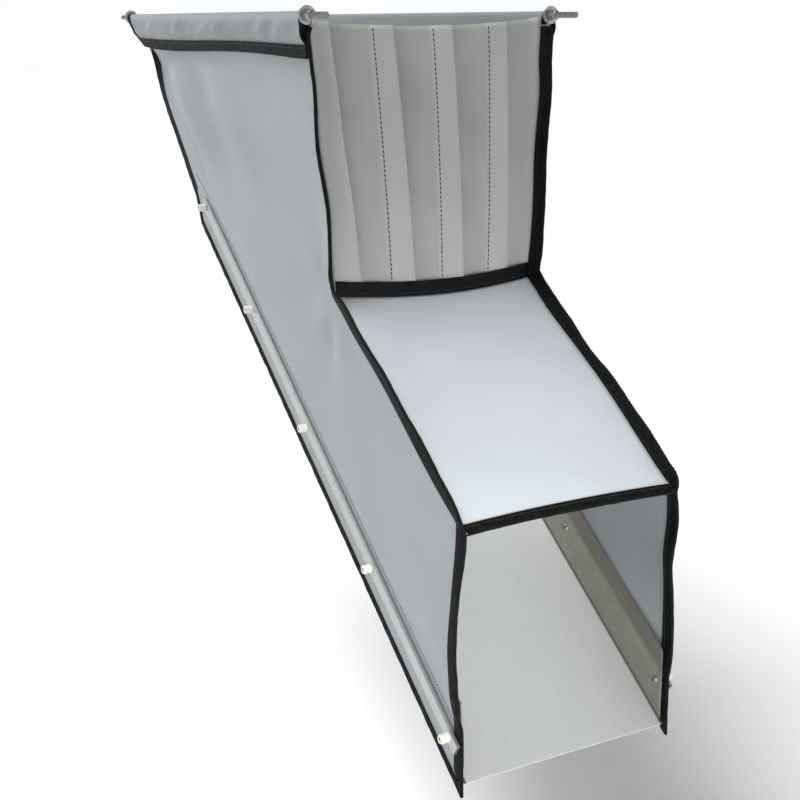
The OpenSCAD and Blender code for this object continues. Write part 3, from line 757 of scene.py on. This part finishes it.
def pleat_section(width, depth, pleat_w):
    """One row of a pleated panel: [distance from the left edge, depth]. Each band rises from its
    stitched left edge to a fold, and behind the fold the cloth sinks and comes back slowly."""
    pitch = width / PLEATS
    stitch = depth * STITCH_RISE
    row = []
    for k in range(PLEATS):
        a, fold = k * pitch, k * pitch + pleat_w
        row += [[a + (fold - a) * f, stitch * (1 - f) - 0.5 * math.sin(math.pi * f)]
                for f in np.linspace(0.03, 0.985, 8)]
        row += [[fold, 0.15], [fold + 0.15, 0.7], [fold - 0.35, 1.5], [fold - 1.6, depth * 0.55],
                [fold - 2.4, depth * 0.85]]
        stop = (k + 1) * pitch
        last = k == PLEATS - 1
        for f in np.linspace(0.04, 1, 12):
            x = fold - 2.4 + (stop - fold + 2.4) * f
            hollow = 0.30 * depth * math.sin(math.pi * min(f * 1.15, 1))
            row.append([x, depth * (1 - f) + (stitch + (0 if last else 0.8)) * f + hollow])
    return row


def panel_width(t):
    return ROOF_W + (2 * SLEEVE_IN - ROOF_W) * t


def pleat_depth(t):
    return 4.0 + 10.0 * t ** 1.1


def band_width(t):
    return 27 + 9 * (1 - t)


def front_panel():
    """The pleated front of the hopper. Its pleats fade out beside the walls."""
    rows, fade = 44, 15
    points, lay = [], []
    for t in np.arange(rows) / (rows - 1):
        width, band = panel_width(t), band_width(t)
        pitch = width / PLEATS
        section = pleat_section(width, pleat_depth(t), band)
        run, last = 0.0, None
        for x, d in section:
            share = np.clip(2 * x / width - 1, -1, 1)
            d = d * (0.04 + 0.96 * float(smooth(min(x, width - x), 0, fade)))
            points.append(front_panel_point(float(share), t, d))
            run += 0 if last is None else math.hypot(x - last[0], d - last[1])
            last = (x, d)
            # Painted shade in the valleys behind the folds, less in the last one
            behind_fold = x % pitch - band
            shade = 0.0
            if behind_fold > -0.4:
                shade = 0.85 - 0.4 * behind_fold / (pitch - band)
                shade *= 0.45 if x > width - pitch else 1
            lay.append([run, t * HOPPER_H, shade / MM])
    return make(
        "hopper_front_cloth", points, grid_faces(rows, len(section)), SHADED_HOPPER_CLOTH,
        "hopper_fabric", lay=lay, closed=False, sharp=70,
    )


def rear_path(t):
    """Side view point of the rear panel's middle, from the floor up to the rods."""
    line = inset([HEM_FRONT, HEM_BACK, HEEL, REAR_TOP, HEAD, FOOT], FLANGE + CLOTH / 2)
    bend = line[2]
    heel_dir = unit(HEEL - HEM_BACK)
    foot = meet(bend, heel_dir, along(0, FLOOR_TOP + 0.8), FLOOR_DIR)
    top = meet(bend, REAR_DIR, np.array([0.0, -2.0]), np.array([1.0, 0.0]))
    low, high = np.linalg.norm(bend - foot), np.linalg.norm(top - bend)
    d = t * (low + high)
    soft = 14.0
    if d < low - soft:
        return foot + heel_dir * d, heel_dir
    if d > low + soft:
        return bend + REAR_DIR * (d - low), REAR_DIR
    k = (d - low + soft) / (2 * soft)
    a, b = bend - heel_dir * soft, bend + REAR_DIR * soft
    p = a * (1 - k) ** 2 + bend * 2 * k * (1 - k) + b * k * k
    return p, unit(heel_dir * (1 - k) + REAR_DIR * k)


def rear_row(t):
    """One row of the rear panel: its width, its pleats' depth, its outward direction, and a
    function that places a point x from its left edge, d deep and lift inside the cloth."""
    (y, z), direction = rear_path(t)
    half = [wall_x(side, y, z) - PANEL_GAP for side in (-1, 1)]
    width = half[0] + half[1]
    rise = max(0.0, (t - 0.15) / 0.85)
    depth = 0.6 + 9 * rise ** 1.2
    out = np.array([direction[1], -direction[0]])
    y = float(slack_rear(y, z))

    def place(x, d, lift=0.0):
        share = 2 * x / width - 1
        push = 5 * (1 - share ** 2) * math.sin(math.pi * min(1, rise * 1.05)) - (depth - d) * rise
        push = (min(push, 6) if rise > 0 else 0) - lift
        return [x - half[0], y + out[0] * push, z + out[1] * push]

    return width, depth, out, place


def rear_panel():
    rows = 52
    points, lay = [], []
    for t in np.arange(rows) / (rows - 1):
        width, depth, _, place = rear_row(t)
        section = pleat_section(width, depth, PLEAT_W)
        points += [place(x, d) for x, d in section]
        lay += [[x, t * REAR_L] for x, _ in section]
    return make(
        "hopper_rear_cloth", points, grid_faces(rows, len(section)), SHADED_HOPPER_CLOTH,
        "hopper_fabric", lay=lay, closed=False, sharp=70,
    )


def roof():
    rows, columns = 56, 42
    v, u = np.meshgrid(np.linspace(0, 1, rows), np.linspace(-1, 1, columns), indexing="ij")
    points = roof_point(u, v)
    lay = np.stack([u * ROOF_W / 2, v * ROOF_RUN / COS], axis=-1)
    return make(
        "roof_cloth", points, grid_faces(rows, columns), ROOF_CLOTH, "roof_fabric",
        lay=lay, closed=False, sharp=60,
    )


# ---- binding tapes and stitching ----
stitch_lines = []


def fold_profile(width, room):
    """Closed section of a tape folded over an edge: [distance in from the edge, height], with
    height measured square to the cloth's middle. The fold is at the edge."""
    a, b = room, room + TAPE
    turns = np.linspace(math.pi / 2, 3 * math.pi / 2, 9)
    lip = np.linspace(width, 2, 7)
    outer = [[v, b] for v in lip] + [[b * math.cos(w), b * math.sin(w)] for w in turns]
    outer += [[v, -b] for v in lip[::-1]]
    inner = [[v, -a] for v in lip] + [[a * math.cos(w), -a * math.sin(w)] for w in turns]
    inner += [[v, a] for v in lip[::-1]]
    return np.array(outer), np.array(inner)


def resample(line, step):
    line = np.asarray(line, float)
    d = np.concatenate([[0], np.cumsum(np.linalg.norm(np.diff(line, axis=0), axis=1))])
    n = max(2, int(d[-1] / step))
    at = np.linspace(0, d[-1], n + 1)
    return np.stack([np.interp(at, d, line[:, k]) for k in range(3)], axis=1), at


def binding(name, edge, inner_edge, outward, width, replaced, ridge=0.22, pitch=4.4, slant=0.0,
            material=None, room=None, sew=True):
    """Tape folded over a cloth edge. edge and inner_edge are matching lines of points, the second
    one the tape's width inside the first; outward is a rough outward direction."""
    step = 1.1
    edge, at = resample(edge, step)
    count = len(edge)
    share = np.linspace(0, 1, len(inner_edge))
    fine = np.linspace(0, 1, count)
    inner_edge = np.stack([np.interp(fine, share, np.asarray(inner_edge)[:, k]) for k in range(3)], axis=1)
    tangent = unit(np.gradient(edge, axis=0))
    into = unit(inner_edge - edge)
    normal = unit(np.cross(tangent, into))
    turn = np.sign(np.sum(normal * np.asarray(outward, float), axis=1, keepdims=True))
    turn[turn == 0] = 1
    normal = normal * turn
    room = CLOTH / 2 + SEAT if room is None else room
    outer, inner = fold_profile(width, room)
    reach = (inner_edge - edge) / width
    rows, lay = [], []
    for loop, is_outer in ((outer, True), (inner, False)):
        v, n = loop[:, 0], loop[:, 1]
        along_edge = at[:, None]
        if is_outer:
            drift = 0.5 * np.sin(along_edge / 23) + 0.3 * np.sin(along_edge / 7.3)
            rib = 0.42 * np.cos(2 * math.pi * (np.maximum(v, 0)[None] + drift) / (width / 2.6))
            rib = rib + ridge * np.sin(2 * math.pi * (along_edge + slant * v[None]) / pitch)
            rib = rib + 0.22 * np.sin(along_edge / 5.1 + v[None] * 0.3) * np.sin(along_edge / 13.7)
            rib = rib * smooth(np.minimum(width - v, 99), 0, 2)[None]
            trough = 0.45 * hump(v, width - STITCH_IN, 1.0)[None]
            size = np.maximum(1 + (rib - trough) / (room + TAPE), 0.6)
        else:
            size = np.ones((count, len(v)))
        base = edge[:, None] + reach[:, None] * np.maximum(v, 0)[None, :, None]
        base = base + into[:, None] * (np.minimum(v, 0)[None] * size)[..., None]
        rows.append(base + normal[:, None] * (n[None] * size)[..., None])
        lay.append(np.stack(np.broadcast_arrays(along_edge, v[None]), axis=-1))
    points = np.concatenate(rows, axis=1)
    lay = np.concatenate(lay, axis=1)
    columns = points.shape[1]
    piece = make(
        name, points, tube_faces(count, columns), material or BINDING, "binding",
        lay=lay, sharp=50,
    )
    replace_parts(piece, replaced)
    if sew:
        for sign in (1, -1):
            line = edge + reach * (width - STITCH_IN) + normal * sign * (room + TAPE - 0.25)
            stitch_lines.append((line, normal * sign))
    return piece


def stitches(name, lines, pitch=4.4, length=3.2, radius=0.5):
    """Sewn thread: short dashes that rise out of the cloth and dip back into it."""
    points, faces = [], []
    sides = 6
    for line, normals in lines:
        line, at = resample(line, pitch)
        share = np.linspace(0, 1, len(normals))
        fine = np.linspace(0, 1, len(line))
        up = unit(np.stack([np.interp(fine, share, normals[:, k]) for k in range(3)], axis=1))
        for i in range(len(line) - 1):
            a, b = line[i], line[i + 1]
            t = (b - a) / np.linalg.norm(b - a)
            n = up[i]
            w = np.cross(t, n)
            first = len(points)
            for f, lift, r in ((0, -0.25, 0.5), (0.25, 0.12, 1), (0.75, 0.12, 1), (1, -0.25, 0.5)):
                middle = a + t * length * f + n * lift
                for q in range(sides):
                    c, d = math.cos(2 * math.pi * q / sides), math.sin(2 * math.pi * q / sides)
                    points.append(middle + (n * c + w * d) * radius * r)
            faces += tube_faces(4, sides, first)
    return make(name, points, faces, THREAD, "binding", sharp=80)


def wall_tape(name, side, i, width, ridge=0.06, pitch=4.4, slant=0.0, material=None):
    """The tape along edge i of a side wall."""
    outer, inner = (edge_line(i, d) for d in (0, width))
    ends = [wall_point(side, line[:, 0], line[:, 1]) for line in (outer, inner)]
    return binding(
        f"{name}_tape", ends[0], ends[1], (side, 0, 0), width, name, ridge, pitch, slant, material
    )


def sleeve_tapes(word, side):
    """The tape along the sleeve flap's free edge, and those round the sleeve's two ends."""
    n = 220
    margin = (END_TAPE_W + SEAT) / (SLEEVE_BACK - SLEEVE_FRONT)
    lines = []
    for t in (1.0, 1.0 - (TAPE_W - 2) / (-WALL_TOP + math.pi * (BORE_R + CLOTH / 2) + FLAP_L)):
        lines.append(np.array([sleeve_middle(side, f, t) for f in np.linspace(margin, 1 - margin, n)]))
    binding(
        f"{word}_sleeve_flap_tape", lines[0], lines[1], (side, 0, 0), TAPE_W - 2,
        f"{word}_sleeve_binding", 0.06, 3.6, room=CLOTH / 2 + 0.55,
    )
    for end_word, end in ENDS.items():
        f0 = 0.0 if end < 0 else 1.0
        f1 = f0 - end * END_TAPE_W / (SLEEVE_BACK - SLEEVE_FRONT)
        rise = np.linspace(0.02, 1.0, 90)
        outer, inner = ([sleeve_middle(side, f, t) for t in rise] for f in (f0, f1))
        outward_tape(word, end_word, outer, inner, side)


def outward_tape(word, end_word, outer, inner, side):
    """The sleeve's end tape, whose outward side turns with the sleeve over the rod."""
    outer = np.array(outer)
    middle = np.array([side * ROD_X, outer[0][1], -4.0])
    away = resample(outer, 1.1)[0] - middle
    binding(
        f"{word}_sleeve_{end_word}_end_tape", outer, inner, away, END_TAPE_W,
        f"{word}_sleeve_{end_word}_tape", 0.12, 3.4, room=CLOTH / 2 + 0.05, sew=False,
    )


def outlet_top_tape():
    inset_u = 1 - 2.2 / (ROOF_W / 2)
    u = np.linspace(-inset_u, inset_u, 160)
    edge = roof_point(u, 0.0)
    inner = roof_point(u, RIM_TAPE_W / (ROOF_RUN / COS))
    binding(
        "outlet_top_tape", edge, inner, (0, 0, 1), RIM_TAPE_W, "outlet_top_binding", 0.10, 4.6, 0.45,
        RIB_BINDING,
    )


def roof_hopper_tape():
    """A folded tape over the seam where the roof meets the hopper's front, lying up the panel."""
    inset_u = 1 - 2.6 / (ROOF_W / 2)
    across = np.linspace(-inset_u, inset_u, 170)
    top = [front_panel_point(u, 17.0 / HOPPER_H, -2.4) for u in across]
    bottom = [front_panel_point(u, -1.6 / HOPPER_H, -2.2) for u in across]
    binding(
        "roof_hopper_tape", np.array(top), np.array(bottom), (0, -1, 0), 16.3,
        "roof_hopper_binding", 0.08, 4.2, 0.2, RIB_BINDING, room=0.3,
    )


def pleat_stitching():
    """The stitching at each pleat's left edge. The front's first pleat starts under a tape."""
    lines, inset_x, count = [], 1.8, 90
    for k in range(1, PLEATS):
        line = []
        for t in np.linspace(0.06, 0.995, count):
            share = 2 * (k / PLEATS + inset_x / panel_width(t)) - 1
            stitch = STITCH_RISE * pleat_depth(t) * (1 - inset_x / band_width(t))
            line.append(front_panel_point(share, t, stitch - CLOTH / 2 - 0.35))
        lines.append((np.array(line), np.tile([0.0, -1.0, 0.1], (count, 1))))
    stitches("hopper_front_pleat_stitching", lines, 6.2, 4.4, 0.75)
    lines = []
    for k in range(PLEATS):
        line, normals = [], []
        for t in np.linspace(0.2, 0.985, 110):
            width, depth, out, place = rear_row(t)
            line.append(place(k / PLEATS * width + 3.0, STITCH_RISE * depth, CLOTH / 2 + 0.15))
            normals.append([0.0, -out[0], -out[1]])
        lines.append((np.array(line), np.array(normals)))
    stitches("hopper_rear_pleat_stitching", lines)


def hem_stitching():
    """The line of stitching above each clamp bar."""
    lines = []
    for side in SIDES.values():
        ends = along(24, BAR_TOP + 9), along(1150, BAR_TOP + 9)
        line = ends[0] + (ends[1] - ends[0]) * np.linspace(0, 1, 260)[:, None]
        p = wall_point(side, line[:, 0], line[:, 1])
        lines.append((p + [side * (CLOTH / 2 + 0.1), 0, 0], np.tile([side, 0.0, 0.0], (260, 1))))
    stitches("hem_stitching", lines)


# ---- rods and their fasteners ----
THREAD_PITCH = 1.25


def lathe(sections, centre, axis, sides=48):
    """Points of a closed ring of revolution. sections are [distance along the axis, radius], or
    [distance, function of the angle] where the outline isn't round."""
    turns = np.linspace(0, 2 * math.pi, sides, endpoint=False)
    points = []
    for d, r in sections:
        radius = r(turns) if callable(r) else np.full(sides, float(r))
        d = d(turns) if callable(d) else np.full(sides, float(d))
        ring = np.stack([radius * np.sin(turns), axis * d, radius * np.cos(turns)], axis=1)
        points.append(ring + centre)
    return np.concatenate(points)


def ring_faces(rows, sides, first=0):
    """A closed ring: the last row joins the first."""
    faces = []
    for i in range(rows):
        a, b = first + i * sides, first + ((i + 1) % rows) * sides
        faces += [[a + j, a + (j + 1) % sides, b + (j + 1) % sides, b + j] for j in range(sides)]
    return faces


def threaded_rod(word, side):
    lo, hi = mm_box(f"{word}_rod")
    # Only the rod's ends show, so only they are threaded
    threaded, fine = 125.0, THREAD_PITCH / 6
    front = np.arange(lo[1], lo[1] + threaded, fine)
    back = np.arange(hi[1] - threaded, hi[1] + 1e-6, fine)
    ys = np.concatenate([front, np.linspace(front[-1] + 1, back[0] - 1, 12), back])
    sides = 24
    turns = np.linspace(0, 2 * math.pi, sides, endpoint=False)
    depth = 0.62
    y, w = np.meshgrid(ys, turns, indexing="ij")
    phase = (y / THREAD_PITCH - w / (2 * math.pi)) % 1.0
    crest = np.clip(1.25 - np.abs(phase - 0.5) * 3.4, 0, 1)
    radius = ROD_R - 0.02 - depth * (1 - crest)
    end = np.minimum(y - lo[1], hi[1] - y)
    radius = np.minimum(radius, ROD_R - 1.1 + end)
    plain = smooth(end, threaded - 2, threaded)
    radius = radius * (1 - plain) + (ROD_R - 0.35) * plain
    points = np.stack([side * ROD_X + radius * np.sin(w), y, radius * np.cos(w)], axis=-1)
    piece = make(
        f"{word}_threaded_rod", points, tube_faces(len(ys), sides), ZINC_DARK, "zinc_steel",
        body=f"{word}_rod", sharp=25,
    )
    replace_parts(piece, f"{word}_rod")


def hex_radius(across, turns):
    """Radius of a hexagon with two corners on the x axis. turns count from the z axis."""
    return across / 2 / np.cos((turns + math.pi / 6) % (math.pi / 3) - math.pi / 6)


def fastener_stack(word, side, end_word, end):
    """The washer, the plain nut and the nylon-insert nut at one end of a rod."""
    names = [f"{word}_{end_word}_{kind}" for kind in ("washer", "nut", "locknut")]
    centre = np.array([side * ROD_X, 0.0, 0.0])

    def span(node):
        lo, hi = mm_box(node)
        return (lo[1], hi[1]) if end > 0 else (-hi[1], -lo[1])

    def turned(name, rows, sides, replaced, body, sharp, material=ZINC, slot="zinc_steel"):
        shape, faces = lathe(rows, centre, end, sides), ring_faces(len(rows), sides)
        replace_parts(make(name, shape, faces, material, slot, body, sharp=sharp), replaced)

    washer, nut, lock = (span(n) for n in names)
    nuts = f"{word}_{end_word}_nuts"
    lo, hi = mm_box(names[0])
    rim = (hi[0] - lo[0]) / 2
    lo, hi = mm_box(names[1])
    flats = hi[2] - lo[2]
    bore = BORE_R

    a, b = washer
    rows = [(a, bore + 0.35), (a, rim - 0.7), (a + 0.25, rim - 0.15), (a + 0.7, rim),
            (b - 0.45, rim), (b - 0.1, rim - 0.2), (b, rim - 0.6), (b, bore + 0.3), (b - 0.2, bore),
            (a + 0.2, bore)]
    turned(f"{names[0]}_plate", rows, 64, names[0], names[0], 35)

    flat_r, chamfer = flats / 2 - 0.15, math.tan(math.radians(30))

    def hexagon(turns):
        return hex_radius(flats, turns)

    def worn(at, way):
        """An end of the hexagon's faces, worn round where the chamfer cuts them."""
        return lambda turns: at + way * np.maximum(hexagon(turns) - flat_r, 0) * chamfer

    def hex_rows(a, b):
        return [(a, bore + 0.7), (a, flat_r), (worn(a, 1), hexagon), (worn(b, -1), hexagon), (b, flat_r)]

    a, b = nut
    rows = hex_rows(a, b) + [(b, bore + 0.7), (b - 0.7, bore), (a + 0.7, bore)]
    turned(f"{names[1]}_hex", rows, 72, names[1], nuts, 22)

    a, b = lock
    collar = b - 2.4
    ring = flats / 2 - 0.75
    rows = hex_rows(a, collar) + [
        (collar + 0.3, ring), (b - 0.9, ring), (b - 0.35, ring - 0.25), (b, ring - 0.9),
        (b - 0.05, ring - 1.35), (b - 0.9, ring - 1.5), (b - 1.2, bore + 0.1), (b - 2.2, bore),
        (a + 0.7, bore),
    ]
    turned(f"{names[2]}_hex", rows, 72, names[2], nuts, 22)
    rows = [(b - 1.15, ring - 1.6), (b - 0.55, ring - 1.75), (b - 0.4, bore + 0.9),
            (b - 0.7, bore + 0.12), (b - 1.1, bore + 0.12)]
    turned(f"{names[2]}_insert", rows, 48, names[2], nuts, 30, INSERT, "nylon")


def sleeve_nuts(word, side):
    """Round white nuts over the clamp screws, with rounded rims and an open outer end."""
    node = f"{word}_sleeve_nuts"
    count, sides = 5, 40
    verts = np.array([v.co for v in frame["nodes"][node].data.vertices]) / MM
    s, h = s_h(verts[:, 1], verts[:, 2])
    x0, x1 = np.abs(verts[:, 0]).min(), np.abs(verts[:, 0]).max()
    points, faces = [], []
    for group in np.array_split(np.argsort(s), count):
        lo, hi = s[group].min(), s[group].max()
        y, z = along((lo + hi) / 2, (h[group].min() + h[group].max()) / 2)
        r = (hi - lo) / 2
        turns = np.linspace(0, 2 * math.pi, sides, endpoint=False)
        rows = [(x0, r - 0.5), (x0 + 0.5, r), (x1 - 1.7, r), (x1 - 0.9, r - 0.3), (x1 - 0.25, r - 0.9),
                (x1, r - 1.6), (x1 - 0.15, 3.5), (x1 - 0.6, 3.1), (x0 + 2, 3.05), (x0, 3.3)]
        first = len(points)
        for x, radius in rows:
            for w in turns:
                points.append([side * x, y + radius * math.cos(w), z + radius * math.sin(w)])
        faces += ring_faces(len(rows), sides, first)
    piece = make(f"{word}_sleeve_nut_set", points, faces, NYLON, "nylon", sharp=30)
    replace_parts(piece, node)


# ---- building ----
def dress(node, material):
    """Gives a carried-over CAD node its material."""
    piece = frame["nodes"][node]
    piece.data.materials.clear()
    piece.data.materials.append(material)


dress("floor_tray", TRAY_STEEL)
for word in SIDES:
    dress(f"{word}_clamp_bar", BAR_STEEL)
    dress(f"{word}_clamp_screws", SCREW)

roof_cloth = roof()
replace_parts(roof_cloth, "roof_panel")
front_cloth = front_panel()
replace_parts(front_cloth, "hopper_front_panel")
rear_cloth = rear_panel()
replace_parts(rear_cloth, "hopper_rear_panel")
walls = {}
for word, side in SIDES.items():
    walls[word] = side_wall(f"{word}_wall_cloth", side)
    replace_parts(walls[word], f"{word}_wall", f"{word}_sleeve")
    wall_tape(f"outlet_{word}_binding", side, TIP, TAPE_W, 0.10, 4.8, 0.3, RIB_BINDING)
    serrated = word == "right"
    wall_tape(
        f"roof_{word}_binding", side, TIP - 1, FLANGE + 0.4, 0.26 if serrated else 0.08, 5.2, 0.0,
        RIB_BINDING if serrated else None,
    )
    wall_tape(f"hopper_front_{word}_binding", side, 4, FLANGE + 0.6)
    wall_tape(f"hopper_rear_{word}_binding", side, 2, TAPE_W)
    wall_tape(f"heel_{word}_binding", side, 1, HEM_TAPE_W)
    wall_tape(f"hem_{word}_binding", side, 0, HEM_TAPE_W)
    sleeve_tapes(word, side)
    threaded_rod(word, side)
    sleeve_nuts(word, side)
    for end_word, end in ENDS.items():
        fastener_stack(word, side, end_word, end)
outlet_top_tape()
roof_hopper_tape()
stitches("binding_stitching", stitch_lines)
pleat_stitching()
hem_stitching()


# ---- studio ----
# The sky's strength overhead and at the horizon, and the heights between which it changes
SKY, HORIZON, SKY_FADE = 0.30, 1.0, (0.08, 0.42)
KEY, KEY_FROM, KEY_SPREAD = 2.4, (-0.36, 0.22, 1.0), 28
# A weak narrow lamp that shines up the chute from in front of the outlet
LAMP, LAMP_SIZE, LAMP_SPREAD = 0.95, 0.5, 30
LAMP_AT, LAMP_AIM = (-0.22, -1.75, -0.60), (0.0, 0.1, -0.73)


def aimed(name, light, place, at):
    """Stands a light at a place, turned to shine on another."""
    lamp = add(name, light)
    lamp.location = place
    lamp.rotation_euler = (Vector(at) - Vector(place)).to_track_quat("-Z", "Y").to_euler()


def studio():
    """A pale floor well below the hanging chute, a light sky, a soft sun and one lamp."""
    size, drop = 30.0, 0.25
    level = HEM_FRONT[1] * MM - drop
    mesh = bpy.data.meshes.new("floor")
    corners = [(-size, -size, level), (size, -size, level), (size, size, level), (-size, size, level)]
    mesh.from_pydata(corners, [], [[0, 1, 2, 3]])
    floor = add("floor", mesh)
    p = Paint("pale_floor", specular=0.1)
    cloud = p.noise(p.place(), 1.5, 3)
    p.colour(p.blend(p.spread(cloud, 0, 1), rgba(252, 252, 253), rgba(250, 250, 251)))
    p.rough(0.95)
    mesh.materials.append(p.material)
    floor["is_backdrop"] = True

    world = bpy.data.worlds.new("studio")
    world.use_nodes = True
    bpy.context.scene.world = world
    sky = world.node_tree.nodes["Background"]
    sky.inputs["Color"].default_value = (0.97, 0.98, 1.0, 1.0)
    nodes, links = world.node_tree.nodes, world.node_tree.links
    direction = nodes.new("ShaderNodeTexCoord")
    split = nodes.new("ShaderNodeSeparateXYZ")
    fade = nodes.new("ShaderNodeMapRange")
    fade.interpolation_type = "SMOOTHSTEP"
    fade.inputs["From Min"].default_value, fade.inputs["From Max"].default_value = SKY_FADE
    fade.inputs["To Min"].default_value = HORIZON
    fade.inputs["To Max"].default_value = SKY
    links.new(direction.outputs["Generated"], split.inputs["Vector"])
    links.new(split.outputs["Z"], fade.inputs["Value"])
    links.new(fade.outputs["Result"], sky.inputs["Strength"])

    sun = bpy.data.lights.new("key", "SUN")
    sun.energy = KEY
    sun.angle = math.radians(KEY_SPREAD)
    aimed("key", sun, KEY_FROM, (0, 0, 0))
    lamp = bpy.data.lights.new("front", "AREA")
    lamp.shape = "DISK"
    lamp.size = LAMP_SIZE
    lamp.energy = LAMP
    lamp.spread = math.radians(LAMP_SPREAD)
    aimed("front", lamp, LAMP_AT, LAMP_AIM)


def camera():
    """The main view: from the front left, level with the rods."""
    data = bpy.data.cameras.new("camera")
    data.sensor_width = 36
    data.lens = 54.9
    eye = add("camera", data)
    right = Vector((0.8974, -0.4412, -0.0020)).normalized()
    up = Vector((0.1327, 0.2656, 0.9549))
    back = right.cross(up).normalized()
    up = back.cross(right)
    turn = Matrix((right, up, back)).transposed().to_4x4()
    eye.matrix_world = Matrix.Translation((-0.785, -1.4779, -0.007)) @ turn
    bpy.context.scene.camera = eye


studio()
camera()
bpy.context.scene.view_settings.view_transform = "Standard"

boxes = {"cad": CAD_BOX, "visual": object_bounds()}
{k: [[float(c) for c in p] for p in b] for k, b in boxes.items()}
